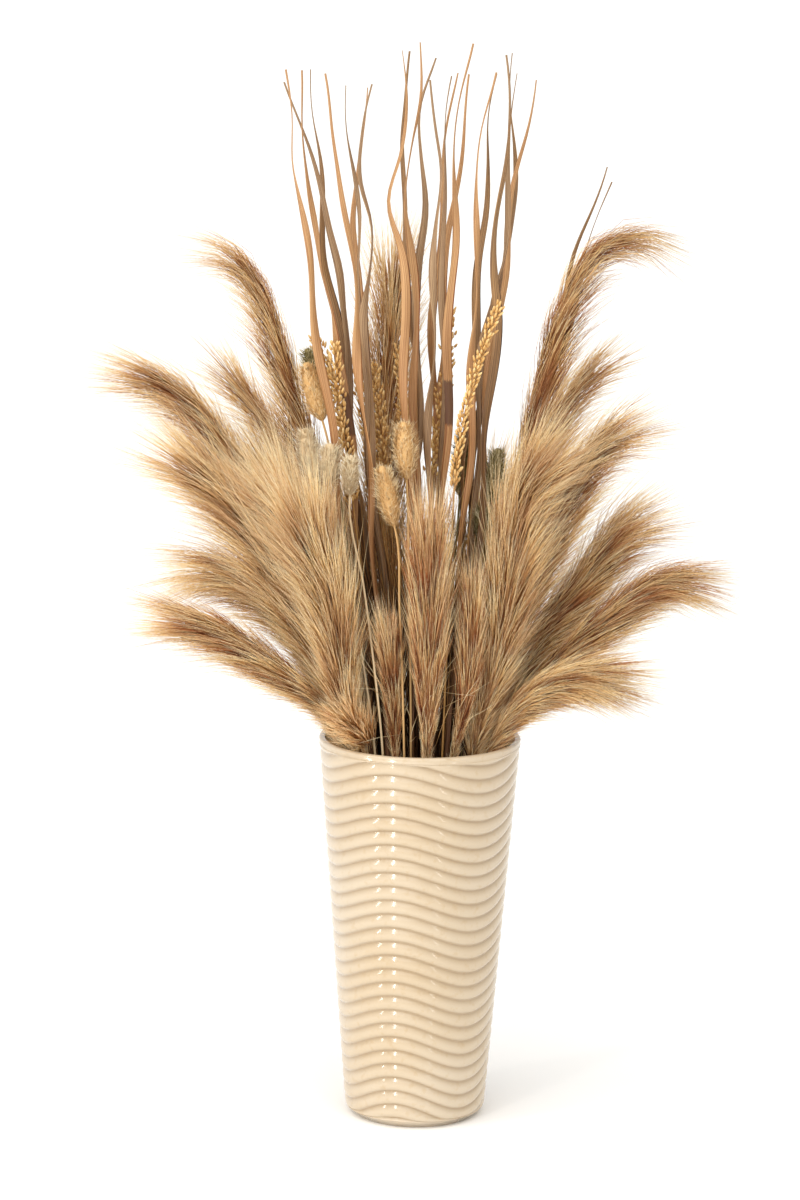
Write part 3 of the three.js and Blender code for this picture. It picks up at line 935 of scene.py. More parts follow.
class GrainNet(GeometryNet):
    """Sets husked grains on short stalks round a spray's head, and makes the spray's own stalk."""

    GOLDEN_TURN = 2.4  # radians from one grain to the next
    STALK_SIDES = 6

    def __init__(self) -> None:
        """Wire the tree."""
        super().__init__(
            "grains", Grains=int, Start=float, End=float, Grain_Length=float, Grain_Width=float,
            Lean=float, Stalk_Radius=float, Looseness=float, Seed=int, Material=bpy.types.Material,
        )
        curve = self.add("GeometryNodeMeshToCurve", {0: self.source.outputs[0]}).outputs[0]
        grains = self.placed(curve, self.grain())
        stalk = self.stalk(curve)
        both = self.add("GeometryNodeJoinGeometry")
        self.tree.links.new(grains, both.inputs[0])
        self.tree.links.new(stalk, both.inputs[0])
        self.finish(both.outputs[0], self.given("Material"))

    def grain(self) -> bpy.types.NodeSocket:
        """Make one unit grain on a thin stalk, pointing up, with its height kept as along.

        Returns:
            The grain's socket.
        """
        sphere = {"Segments": 6, "Rings": 5, "Radius": 0.5}
        ball = self.add("GeometryNodeMeshUVSphere", sphere).outputs["Mesh"]
        x, y, z = self.split(self.add("GeometryNodeInputPosition").outputs[0])
        taper = self.math("SUBTRACT", 1.0, self.math("MULTIPLY", z, 0.5))
        shape = self.combine(self.math("MULTIPLY", x, taper), self.math("MULTIPLY", y, taper),
                             self.math("MULTIPLY_ADD", z, 0.7, 0.62))
        husk = self.add("GeometryNodeSetPosition", {"Geometry": ball, "Position": shape}).outputs[0]
        thin = {"Vertices": 3, "Side Segments": 1, "Fill Segments": 1,
                "Radius Top": 0.09, "Radius Bottom": 0.07, "Depth": 0.4}
        twig = self.add("GeometryNodeMeshCone", thin).outputs["Mesh"]
        both = self.add("GeometryNodeJoinGeometry")
        self.tree.links.new(husk, both.inputs[0])
        self.tree.links.new(twig, both.inputs[0])
        height = self.split(self.add("GeometryNodeInputPosition").outputs[0])[2]
        return self.store(both.outputs[0], "along", height)

    def placed(self, curve: Value, grain: Value) -> bpy.types.NodeSocket:
        """Set the grains round the head, leaning out and up.

        Args:
            curve: the spine.
            grain: the unit grain.

        Returns:
            The grains' socket.
        """
        count = self.given("Grains")
        points = self.add("GeometryNodePoints", {"Count": count}).outputs[0]
        index = self.add("GeometryNodeInputIndex").outputs[0]
        order = self.math("DIVIDE", self.math("ADD", index, self.chance(0.0, 1.0, 1)), count)
        share = self.blend(order, self.given("Start"), self.given("End"))
        here = self.add("GeometryNodeSampleCurve", {"Curves": curve, "Factor": share}, mode="FACTOR")
        turn = self.math("ADD", self.math("MULTIPLY", index, self.GOLDEN_TURN), self.chance(-0.5, 0.5, 2))
        rotate = {"Vector": here.outputs["Normal"], "Axis": here.outputs["Tangent"], "Angle": turn}
        out = self.add("ShaderNodeVectorRotate", rotate, rotation_type="AXIS_ANGLE").outputs[0]
        lean = self.math("MULTIPLY", self.given("Lean"), self.chance(0.5, 1.4, 3))
        aim = self.total(self.scaled(here.outputs["Tangent"], self.math("COSINE", lean)),
                         self.scaled(out, self.math("SINE", lean)), self.chance_vector(0.12, 4))
        loose = self.math("MULTIPLY", self.given("Looseness"), self.chance(0.0, 1.0, 8))
        away = self.scaled(out, loose)
        spot = self.vector("ADD", here.outputs["Position"], away)
        points = self.add("GeometryNodeSetPosition", {"Geometry": points, "Position": spot}).outputs[0]
        points = self.store(points, "tone", self.chance(0.0, 1.0, 9))
        turned = self.add("FunctionNodeAlignRotationToVector", {"Vector": aim}, axis="Z").outputs[0]
        width = self.given("Grain_Width")
        tall = self.math("MULTIPLY", self.given("Grain_Length"), self.chance(0.8, 1.15, 10))
        size = self.combine(width, width, tall)
        inputs = {"Points": points, "Instance": grain, "Rotation": turned, "Scale": size}
        laid = self.add("GeometryNodeInstanceOnPoints", inputs).outputs[0]
        whole = self.add("GeometryNodeRealizeInstances", {0: laid}).outputs[0]
        spot = self.combine(self.stored("along"), self.stored("tone"))
        return self.store(whole, HAIR_MAP, spot, "FLOAT2", "CORNER")

    def stalk(self, curve: Value) -> bpy.types.NodeSocket:
        """Make the spray's stalk as a thin tapering tube.

        Args:
            curve: the spine.

        Returns:
            The stalk's socket.
        """
        section = {"Resolution": self.STALK_SIDES, "Radius": 1.0}
        circle = self.add("GeometryNodeCurvePrimitiveCircle", section).outputs[0]
        factor = self.add("GeometryNodeSplineParameter").outputs["Factor"]
        slim = self.math("SUBTRACT", 1.0, self.math("MULTIPLY", factor, 0.65))
        girth = self.math("MULTIPLY", self.given("Stalk_Radius"), slim)
        wide = {"Curve": curve, "Profile Curve": circle, "Scale": girth, "Fill Caps": True}
        tube = self.add("GeometryNodeCurveToMesh", wide).outputs[0]
        return self.store(tube, HAIR_MAP, self.combine(0.2, 0.5), "FLOAT2", "CORNER")


class RidgeNet(GeometryNet):
    """Turns a plain stack of level rings into the vase's wavy, lapped ridges."""

    PROFILE = (  # one ridge from its foot up: share of the pitch, then share of the relief
        (0.0, 0.0), (0.05, 0.2), (0.14, 0.74), (0.27, 1.0), (0.45, 0.95), (0.75, 0.56), (1.0, 0.0),
    )

    def __init__(self) -> None:
        """Wire the tree."""
        super().__init__(
            "ridges", Pitch=float, Depth=float, Waves=float, Wave_Height=float, Peak_Bearing=float,
            Lowest=float, Highest=float, Ease=float, Foot_Radius=float, Body_Radius=float,
            Rim_Radius=float, Height=float, Corner=float, Material=bpy.types.Material,
        )
        x, y, row = self.split(self.add("GeometryNodeInputPosition").outputs[0])
        bearing = self.math("ARCTAN2", x, self.math("MULTIPLY", y, -1.0))
        swing = self.math("SUBTRACT", bearing, self.given("Peak_Bearing"))
        wave = self.math("COSINE", self.math("MULTIPLY", swing, self.given("Waves")))
        level = self.math("MULTIPLY_ADD", wave, self.given("Wave_Height"), row)
        height = self.kept(level)
        radius = self.math("SUBTRACT", self.wall(height), self.cut(row, height))
        place = self.combine(
            self.math("MULTIPLY", radius, self.math("SINE", bearing)),
            self.math("MULTIPLY", radius, self.math("MULTIPLY", self.math("COSINE", bearing), -1.0)),
            height,
        )
        ridged = self.math("GREATER_THAN", self.stored("ridged"), 0.5)
        # Keep each ridged row's depth below its crest, for the glaze's painted shade in the grooves.
        depth = self.math("DIVIDE", self.cut(row, height), self.given("Depth"))
        blank = self.store(self.source.outputs[0], "painted_groove_shade", self.math("MULTIPLY", depth, ridged))
        inputs = {"Geometry": blank, "Selection": ridged, "Position": place}
        self.finish(self.add("GeometryNodeSetPosition", inputs).outputs[0], self.given("Material"))

    def kept(self, level: Value) -> bpy.types.NodeSocket:
        """Squeeze the rows that run past the ridged band into its last few millimetres.

        Args:
            level: the height each row waves to.

        Returns:
            The height it is kept at.
        """
        ease = self.given("Ease")
        top = self.math("SUBTRACT", self.given("Highest"), ease)
        bottom = self.math("ADD", self.given("Lowest"), ease)
        over = self.math("MAXIMUM", self.math("SUBTRACT", level, top), 0.0)
        under = self.math("MAXIMUM", self.math("SUBTRACT", bottom, level), 0.0)
        within = self.math("MAXIMUM", self.math("MINIMUM", level, top), bottom)
        up = self.math("DIVIDE", self.math("MULTIPLY", ease, over), self.math("ADD", over, ease))
        down = self.math("DIVIDE", self.math("MULTIPLY", ease, under), self.math("ADD", under, ease))
        return self.math("SUBTRACT", self.math("ADD", within, up), down)

    def wall(self, height: Value) -> bpy.types.NodeSocket:
        """Give the wall's radius at a height: a straight taper with a rounded lower corner.

        Args:
            height: the height.

        Returns:
            The radius's socket.
        """
        share = self.math("DIVIDE", height, self.given("Height"))
        taper = self.blend(share, self.given("Body_Radius"), self.given("Rim_Radius"))
        near = self.math("MINIMUM", self.math("DIVIDE", height, self.given("Corner")), 1.0)
        low = self.math("SUBTRACT", 1.0, near)
        arc = self.math("SQRT", self.math("SUBTRACT", 1.0, self.math("MULTIPLY", low, low)))
        tuck = self.math("SUBTRACT", self.given("Body_Radius"), self.given("Foot_Radius"))
        drawn_in = self.math("MULTIPLY", tuck, self.math("SUBTRACT", 1.0, arc))
        return self.math("SUBTRACT", taper, drawn_in)

    def cut(self, row: Value, height: Value) -> bpy.types.NodeSocket:
        """Give how far a row lies below the crest of its ridge.

        Args:
            row: the row's level height, before it waves.
            height: the height it is kept at.

        Returns:
            The depth's socket.
        """
        phase = self.math("FRACT", self.math("DIVIDE", row, self.given("Pitch")))
        curve = self.add("ShaderNodeFloatCurve", {"Value": phase})
        line = curve.mapping.curves[0]
        for i, (place, amount) in enumerate(self.PROFILE):
            if 0 < i < len(self.PROFILE) - 1:
                line.points.new(place, amount)
            else:
                line.points[-1 if i else 0].location = (place, amount)
        curve.mapping.update()
        room = self.math("MINIMUM", self.math("SUBTRACT", height, self.given("Lowest")),
                         self.math("SUBTRACT", self.given("Highest"), height))
        soft = self.math("MINIMUM", self.math("DIVIDE", room, self.given("Ease")), 1.0)
        below = self.math("SUBTRACT", 1.0, curve.outputs[0])
        return self.math("MULTIPLY", self.math("MULTIPLY", below, soft), self.given("Depth"))


# ---------------------------------------------------------------- the vase and its foam


@dataclass
class Vase:
    """The tapered ceramic vase, with lapped ridges that wave round it."""

    height: float = 350 * MM
    foot_radius: float = 55 * MM
    body_radius: float = 63 * MM
    rim_radius: float = 91 * MM
    corner: float = 14 * MM
    wall: float = 6.5 * MM
    floor: float = 8 * MM
    pitch: float = 12.9 * MM
    relief: float = 2.6 * MM
    waves: float = 3.0
    wave_height: float = 10 * MM
    peak_bearing: float = math.radians(-16)
    lowest: float = 6 * MM
    highest: float = 345 * MM
    ease: float = 4 * MM
    columns: int = 144
    rows_per_ridge: int = 11

    def radius_at(self, height: float) -> float:
        """Return the outer wall's radius at a height, above the rounded corner."""
        return self.body_radius + (self.rim_radius - self.body_radius) * height / self.height

    def ridge_rows(self) -> list[tuple[float, float]]:
        """List the level rows that the ridges are made from.

        Returns:
            Rows from the foot up, each a radius and a height.
        """
        reach = self.wave_height + self.pitch / 2
        count = round((self.highest - self.lowest + 2 * reach) / self.pitch * self.rows_per_ridge)
        heights = np.linspace(self.lowest - reach, self.highest + reach, count)
        return [(self.rim_radius, float(height)) for height in heights]

    def lip_rows(self) -> list[tuple[float, float]]:
        """List the rows of the rounded lip and the inside, down to the floor.

        Returns:
            Rows from the lip's outside down, each a radius and a height.
        """
        half = self.wall / 2 - 0.4 * MM
        middle = self.rim_radius - self.wall / 2 + 0.1 * MM
        top = self.height - half * 0.75
        rows = []
        for step in range(9):
            angle = math.pi * step / 8
            rows.append((middle + half * math.cos(angle), top + half * 0.75 * math.sin(angle)))
        for height in np.linspace(self.height - 12 * MM, self.floor + self.corner, 12):
            rows.append((self.radius_at(float(height)) - self.wall, float(height)))
        inner = self.radius_at(self.floor) - self.wall
        for step in range(1, 6):
            angle = math.pi / 2 * step / 5
            tuck = self.corner * 0.6 * (1 - math.cos(angle))
            rise = self.corner * (1 - math.sin(angle))
            rows.append((inner - tuck, self.floor + rise))
        return rows

    def blank(self) -> bpy.types.Mesh:
        """Make the closed blank: the level rows from the foot's middle round to the floor's middle.

        Returns:
            The blank, with the attribute ridged set to one on the ridges' rows.
        """
        ridged = self.ridge_rows()
        rows = [(self.foot_radius, 0.0), *ridged, *self.lip_rows()]
        points: list[tuple[float, float, float]] = []
        for radius, height in rows:
            for column in range(self.columns):
                angle = math.tau * column / self.columns
                points.append((radius * math.sin(angle), -radius * math.cos(angle), height))
        faces = ring_faces(len(rows), self.columns)
        last = (len(rows) - 1) * self.columns
        points += [(0.0, 0.0, 0.0), (0.0, 0.0, self.floor)]
        for i in range(self.columns):
            j = (i + 1) % self.columns
            faces.append((len(points) - 2, j, i))
            faces.append((len(points) - 1, last + i, last + j))
        mesh = smooth_mesh("vase", points, faces)
        flags = np.zeros(len(points), dtype=np.float32)
        flags[self.columns : self.columns * (1 + len(ridged))] = 1.0
        mesh.attributes.new("ridged", "FLOAT", "POINT").data.foreach_set("value", flags)
        return mesh

    def build(self, net: RidgeNet, finish: bpy.types.Material) -> None:
        """Make the vase and put it in place of its CAD node.

        Args:
            net: the tree that ridges the blank.
            finish: its glaze.
        """
        piece = new_object("ridged_vase", self.blank())
        net.run(
            piece, Pitch=self.pitch, Depth=self.relief, Waves=self.waves, Wave_Height=self.wave_height,
            Peak_Bearing=self.peak_bearing, Lowest=self.lowest, Highest=self.highest, Ease=self.ease,
            Foot_Radius=self.foot_radius, Body_Radius=self.body_radius, Rim_Radius=self.rim_radius,
            Height=self.height, Corner=self.corner, Material=finish,
        )
        settle(piece, "glaze", "vase")
        LOG.info("%s: %d faces", piece.name, len(piece.data.polygons))


@dataclass
class FoamPlug:
    """The foam that the stems stand in. The CAD solid is its true shape and stays."""

    node: str = "foam_plug"

    def dress(self, finish: bpy.types.Material) -> None:
        """Give the CAD node its foam finish.

        Args:
            finish: the foam's finish.
        """
        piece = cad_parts[self.node]
        piece.data.materials.clear()
        piece.data.materials.append(finish)
        LOG.info("%s dressed", piece.name)


# ---------------------------------------------------------------- plumes


class Habit(Enum):
    """How a plume grows: hair length and thickness in mm, lean, droop, outward sweep and hair count.

    The last two are the lowest and highest tone of its hairs, 0 for rust and 1 for cream.
    """

    SLIM = (66, 0.24, 19, 0.04, 0.2, 2600, 0.05, 0.95)
    FOX = (74, 0.24, 22, 0.06, 0.15, 2900, 0.05, 1.0)
    BUSHY = (88, 0.25, 25, 0.03, 0.05, 3800, 0.3, 1.0)
    UPRIGHT = (66, 0.24, 14, 0.0, 0.0, 2600, 0.0, 0.9)
    SHORT = (50, 0.24, 13, 0.02, 0.05, 1250, 0.0, 0.9)
    BACK = (72, 0.27, 21, 0.06, 0.1, 1800, 0.35, 1.0)
    TALL = (84, 0.26, 27, 0.0, 0.0, 2900, 0.65, 1.0)


HABITS: dict[Habit, tuple[int, ...]] = {
    Habit.SLIM: (1, 9, 16, 18),
    Habit.FOX: (2, 8, 14, 15, 17),
    Habit.BUSHY: (3, 6, 7, 13),
    Habit.UPRIGHT: (11,),
    Habit.SHORT: (10, 12, 19),
    Habit.BACK: (4, 5, 20, 21, 22),
    Habit.TALL: (23,),
}


@dataclass
class Plume:
    """One pampas plume: its stem, dense core and long hairs sweeping towards the tip."""

    node: str
    habit: Habit
    seed: int
    lowest_hair: float = 324 * MM
    stations: int = 60

    def build(self, net: StrandNet, finish: bpy.types.Material) -> None:
        """Make the plume round its CAD node's spine and put it in the node's place.

        Args:
            net: the tree that grows the hairs.
            finish: the hairs' finish.
        """
        length, thickness, lean, droop, sweep, hairs, low, high = self.habit.value
        spine = Spine.of(self.node).resampled(self.stations)
        piece = spine.guide(f"{self.node}_hair")
        tail = 0.8 * length * MM / spine.length()
        net.run(
            piece, Hairs=hairs, Segments=2, Start=spine.share_at_height(self.lowest_hair),
            End=1.0 - tail, Length=length * MM, Lean=math.radians(lean), Thickness=thickness * MM,
            Droop=droop, Sway=0.1, Sweep=sweep, Core_Share=0.6, Core_End=1.0 - 0.85 * tail,
            Young_Share=0.3, Low_Tone=low, High_Tone=high, Seed=self.seed, Material=finish, **room(),
        )
        settle(piece, "plume_fibre", self.node)
        LOG.info("%s: %d faces", piece.name, len(piece.data.polygons))


# ---------------------------------------------------------------- blades


class BladeTone(Enum):
    """The colour families of the blades: low, middle and high colour, then the streaks'."""

    WARM = ("7c5636", "cb9c68", "d8ae7a", "a67c50")
    GREY = ("604632", "ac8a64", "c2a078", "846848")
    DARK = ("4a3222", "987044", "b98f5c", "62442c")


@dataclass
class CurlyBlade:
    """One dried, ribbed, twisting grass blade."""

    name: str
    spine: Spine
    finish: bpy.types.Material
    node: str | None = None
    turn: float = 0.0
    stations: int = 72
    points_across: int = 9
    camber: float = 0.16
    ribs: float = 0.05
    fullness: float = 1.42
    half_thickness: float = 0.55 * MM
    curl: float = 0.9
    curl_rate: float = 19
    wave: float = 2.6 * MM
    wave_rate: float = 26

    def section(self, half_width: float, half_thickness: float) -> list[tuple[float, float]]:
        """List one cross-section, up one face and back down the other.

        Args:
            half_width: half of the blade's width there.
            half_thickness: half of its thickness at the midrib.

        Returns:
            Offsets across the blade and through it.
        """
        shares = np.linspace(-1.0, 1.0, self.points_across)
        upper, lower = [], []
        for share in shares:
            arch = self.camber * half_width * (1 - share * share)
            rib = self.ribs * half_width * math.cos(share * 3 * math.pi)
            thick = half_thickness * (1.0 - 0.75 * share * share)
            upper.append((share * half_width, arch + rib + thick))
            lower.append((share * half_width, arch + rib - thick))
        return upper + lower[::-1]

    def build(self) -> None:
        """Loft the blade along its spine."""
        line = self.spine.resampled(self.stations)
        tangents = np.gradient(line.points, axis=0)
        tangents /= np.linalg.norm(tangents, axis=1)[:, None]
        size = 2 * self.points_across
        points: list[Vector] = []
        for i in range(self.stations):
            share = i / (self.stations - 1)
            along = Vector(tangents[i])
            across = Vector(line.across[i])
            across = (across - along * across.dot(along)).normalized()
            curl = self.curl * math.sin(share * self.curl_rate + self.turn) * min(1.0, share * 3)
            across = Matrix.Rotation(curl, 3, along) @ across
            through = across.cross(along)
            width = float(line.widths[i]) * self.fullness
            depth = min(self.half_thickness, width * 0.35)
            swing = math.sin(share * self.wave_rate + self.turn * 2)
            wave = self.wave * swing * min(1.0, share * 2)
            centre = Vector(line.points[i]) + Vector((wave, 0.5 * wave, 0.0))
            for x, y in self.section(width, depth):
                points.append(centre + across * x + through * y)
        faces = ring_faces(self.stations, size)
        last = (self.stations - 1) * size
        faces.append(tuple(range(size))[::-1])
        faces.append(tuple(range(last, last + size)))
        mesh = smooth_mesh(self.name, points, faces)
        self.face_out(mesh)
        self.unwrap(mesh, size)
        mesh.materials.append(self.finish)
        piece = new_object(self.name, mesh)
        settle(piece, "blade_fibre", *([self.node] if self.node else []))
        LOG.info("%s: %d faces", piece.name, len(mesh.polygons))

    @staticmethod
    def face_out(mesh: bpy.types.Mesh) -> None:
        """Point every face of a closed mesh outwards.

        Args:
            mesh: the mesh that is changed.
        """
        shape = bmesh.new()
        shape.from_mesh(mesh)
        bmesh.ops.recalc_face_normals(shape, faces=shape.faces)
        shape.to_mesh(mesh)
        shape.free()

    def unwrap(self, mesh: bpy.types.Mesh, size: int) -> None:
        """Give the blade a map that runs along it and round its section.

        Args:
            mesh: the blade's mesh.
            size: how many points a cross-section has.
        """
        layer = mesh.uv_layers.new(name="Blade")
        spots = np.zeros((len(mesh.loops), 2), dtype=np.float32)
        for polygon in mesh.polygons:
            around = [mesh.loops[k].vertex_index % size for k in polygon.loop_indices]
            wraps = len(around) == 4 and max(around) - min(around) > size / 2
            for k, column in zip(polygon.loop_indices, around):
                row = mesh.loops[k].vertex_index // size
                spots[k] = (row / (self.stations - 1), (column + size * (wraps and column == 0)) / size)
        layer.data.foreach_set("uv", spots.ravel())


# ---------------------------------------------------------------- bunny tails and rice sprays


@dataclass
class BunnyTail:
    """One bunny tail: an egg-shaped head of short silky hairs on a thin stalk."""

    name: str
    spine: Spine
    finish: bpy.types.Material
    seed: int
    node: str | None = None
    hairs: int = 1050
    hair_length: float = 8 * MM
    hair_lean: float = math.radians(62)
    hair_thickness: float = 0.32 * MM
    bare_tip: float = 6 * MM
    stations: int = 120

    def egg(self, line: Spine) -> float:
        """Round the head into an egg that sits above the stalk's end.

        Args:
            line: the tail's spine, whose radii are changed.

        Returns:
            How far along the spine the head begins.
        """
        widest = float(line.radii.max())
        shares = np.linspace(0.0, 1.0, self.stations)
        first = float(shares[np.flatnonzero(line.radii > widest * 0.35)[0]])
        start = first + 0.06 * (1.0 - first)
        head = np.clip((shares - start) / (1.0 - start), 0.0, 1.0)
        round_part = widest * np.sin(math.pi * head**0.9) ** 0.6
        line.radii[:] = np.maximum(round_part, 0.9 * MM)
        return start

    def build(self, net: StrandNet) -> None:
        """Grow the tail round its spine.

        Args:
            net: the tree that grows the hairs.
        """
        line = self.spine.resampled(self.stations)
        start = self.egg(line)
        piece = line.guide(self.name)
        net.run(
            piece, Hairs=self.hairs, Segments=2, Start=start, End=1.0 - self.bare_tip / line.length(),
            Length=self.hair_length, Lean=self.hair_lean, Thickness=self.hair_thickness, Droop=0.0,
            Sway=0.4, Sweep=0.0, Core_Share=0.84, Core_End=0.995, Young_Share=1.0, Low_Tone=0.0,
            High_Tone=1.0,
            Seed=self.seed, Material=self.finish, **room(),
        )
        settle(piece, "tail_fibre", *([self.node] if self.node else []))
        LOG.info("%s: %d faces", piece.name, len(piece.data.polygons))


@dataclass
class LooseStraw:
    """Stalks with no head of their own, fanning out from a short line between the stems."""

    name: str
    finish: bpy.types.Material
    seed: int
    bottom: tuple[float, float, float] = (0.0, 8.0, 316.0)
    top: tuple[float, float, float] = (-4.0, 12.0, 600.0)
    radius: float = 46.0
    stalks: int = 900
    length: float = 150.0
    lean: float = 13.0
    thickness: float = 0.55
    end: float = 0.5
    slot: str = "blade_fibre"

    def build(self, net: StrandNet) -> None:
        """Grow the stalks. The class's sizes are in millimetres and degrees.

        Args:
            net: the tree that grows the stalks.
        """
        share = np.linspace(0.0, 1.0, 12)[:, None]
        points = (1 - share) * np.array(self.bottom) + share * np.array(self.top)
        sizes = np.full(len(points), self.radius * MM)
        across = np.tile(np.array([1.0, 0.0, 0.0]), (len(points), 1))
        piece = Spine(points * MM, sizes, across, sizes).guide(self.name)
        net.run(
            piece, Hairs=self.stalks, Segments=2, Start=0.0, End=self.end, Length=self.length * MM,
            Lean=math.radians(self.lean), Thickness=self.thickness * MM, Droop=0.0, Sway=0.12,
            Sweep=0.05, Core_Share=0.02, Core_End=0.1, Young_Share=1.0, Low_Tone=0.0, High_Tone=1.0,
            Seed=self.seed, Material=self.finish, **room(),
        )
        settle(piece, self.slot)
        LOG.info("%s: %d faces", piece.name, len(piece.data.polygons))


@dataclass
class RiceSpray:
    """One rice spray: golden grains on short stalks along a nodding head."""

    node: str
    seed: int
    grains: int = 190
    grain_length: float = 8.2 * MM
    grain_width: float = 2.3 * MM
    grain_lean: float = math.radians(24)
    stalk_radius: float = 1.1 * MM
    looseness: float = 5.5 * MM
    stations: int = 60

    def build(self, net: GrainNet, finish: bpy.types.Material) -> None:
        """Set the grains round the CAD node's spine.

        Args:
            net: the tree that sets the grains.
            finish: the husks' finish.
        """
        line = Spine.of(self.node).resampled(self.stations)
        widest = float(line.radii.max())
        inside = np.flatnonzero(line.radii > widest * 0.4)
        piece = line.guide(f"{self.node}_grains")
        net.run(
            piece, Grains=self.grains, Start=inside[0] / (self.stations - 1), End=0.985,
            Grain_Length=self.grain_length, Grain_Width=self.grain_width, Lean=self.grain_lean,
            Stalk_Radius=self.stalk_radius, Looseness=self.looseness, Seed=self.seed,
            Material=finish,
        )
        settle(piece, "rice_husk", self.node)
        LOG.info("%s: %d faces", piece.name, len(piece.data.polygons))


# ---------------------------------------------------------------- floor, lights and camera


@dataclass(frozen=True)
class SoftBox:
    """A rectangular soft light that faces the middle of the arrangement.

    Its bearing is in degrees from the front, positive to the right. Its height above the floor,
    its distance from the vase's axis, its width and its length are in metres, its power in watts.
    """

    name: str
    bearing: float
    height: float
    distance: float
    width: float
    length: float
    power: float

    def hang(self) -> None:
        """Hang the box and aim it."""
        data = bpy.data.lights.new(self.name, "AREA")
        data.shape = "RECTANGLE"
        data.size = self.width
        data.size_y = self.length
        data.energy = self.power
        data.color = (1.0, 0.97, 0.92)
        lamp = bpy.data.objects.new(self.name, data)
        angle = math.radians(self.bearing)
        lamp.location = (self.distance * math.sin(angle), -self.distance * math.cos(angle), self.height)
        aim = Vector((0.0, 0.0, 0.42)) - lamp.location
        lamp.rotation_euler = aim.to_track_quat("-Z", "Y").to_euler()
        bpy.context.scene.collection.objects.link(lamp)


@dataclass
class Studio:
    """A pale floor, soft lights and the camera."""

    camera_place: tuple[float, float, float] = (-0.0196, -4.0, 1.273)
    pitch_down: float = math.radians(11.3)
    roll: float = math.radians(0.8)
    lens: float = 137.0
    lamps: tuple[SoftBox, ...] = (
        SoftBox("key_strip", -31, 0.95, 2.4, 0.17, 1.0, 9.0),
        SoftBox("side_strip", -60, 0.95, 2.3, 0.13, 1.0, 7.0),
        SoftBox("fill_strip", 40, 0.9, 2.6, 0.1, 0.8, 1.6),
    )
    sun_bearing: float = -20
    sun_height: float = 52
    sun_strength: float = 1.7
    surround: float = 0.85

    def build(self) -> None:
        """Make the whole set."""
        self.floor()
        self.world()
        for lamp in self.lamps:
            lamp.hang()
        self.sun()
        self.camera()
        LOG.info("studio set")

    def floor(self) -> None:
        """Lay a large pale floor at the vase's foot."""
        half = 40.0
        corners = [(-half, -half, 0.0), (half, -half, 0.0), (half, half, 0.0), (-half, half, 0.0)]
        mesh = smooth_mesh("floor", corners, [(0, 1, 2, 3)])
        material = bpy.data.materials.new("pale_floor")
        material.use_nodes = True
        skin = material.node_tree.nodes["Principled BSDF"]
        skin.inputs["Base Color"].default_value = shade("fbfbfa")
        skin.inputs["Roughness"].default_value = 0.8
        mesh.materials.append(material)
        new_object("floor", mesh)

    def world(self) -> None:
        """Light the scene evenly from a white surround."""
        world = bpy.data.worlds.new("white_surround")
        bpy.context.scene.world = world
        world.use_nodes = True
        back = world.node_tree.nodes["Background"]
        back.inputs["Color"].default_value = (1.0, 0.995, 0.985, 1.0)
        back.inputs["Strength"].default_value = self.surround
        bpy.context.scene.view_settings.view_transform = "Standard"

    def sun(self) -> None:
        """Hang a very soft distant light high on the left, which also whitens the far floor."""
        data = bpy.data.lights.new("soft_daylight", "SUN")
        data.energy = self.sun_strength
        data.angle = math.radians(80)
        data.color = (1.0, 0.98, 0.95)
        light = bpy.data.objects.new("soft_daylight", data)
        turn, rise = math.radians(self.sun_bearing), math.radians(self.sun_height)
        flat = math.cos(rise)
        away = Vector((math.sin(turn) * flat, -math.cos(turn) * flat, math.sin(rise)))
        light.rotation_euler = (-away).to_track_quat("-Z", "Y").to_euler()
        bpy.context.scene.collection.objects.link(light)

    def camera(self) -> None:
        """Place the camera in front of the vase, looking a little down on it."""
        data = bpy.data.cameras.new("camera")
        data.lens = self.lens
        data.sensor_width = 36.0
        camera = bpy.data.objects.new("camera", data)
        look = Matrix.Rotation(math.pi / 2 - self.pitch_down, 4, "X")
        place = Matrix.Translation(self.camera_place)
        camera.matrix_world = place @ look @ Matrix.Rotation(self.roll, 4, "Z")
        bpy.context.scene.collection.objects.link(camera)
        bpy.context.scene.camera = camera


# ---------------------------------------------------------------- putting it together


def plume_finish() -> Strands:
    """Return the plumes' hair finish: rust roots to cream tips."""
    return Strands(
        "plume_strands",
        dark=((0.0, "482010"), (0.35, "7a3a1c"), (0.62, "b06a3a"), (0.85, "e4b074"), (1.0, "f6d8a2")),
        pale=((0.0, "8f5330"), (0.22, "cf9058"), (0.45, "f0c684"), (0.7, "fde6b4"), (1.0, "fff5da")),
    )


def tail_finish(name: str, root: str, tip: str) -> Strands:
    """Give short hairs a finish of one colour family.

    Args:
        name: the material's name.
        root: screen colour at the hairs' roots.
        tip: screen colour at their tips.

    Returns:
        The finish.
    """
    return Strands(
        name,
        dark=((0.0, root), (0.5, root), (1.0, tip)),
        pale=((0.0, root), (0.4, tip), (1.0, "f4e6c6")),
    )


def straw_finish() -> Strands:
    """Return the inner straw's finish: dark brown feet to dull tan ends."""
    return Strands(
        "inner_strands",
        dark=((0.0, "301d12"), (0.5, "54351f"), (1.0, "8e6234")),
        pale=((0.0, "533620"), (0.5, "8c6236"), (1.0, "cb9c58")),
        roughness=0.7,
    )


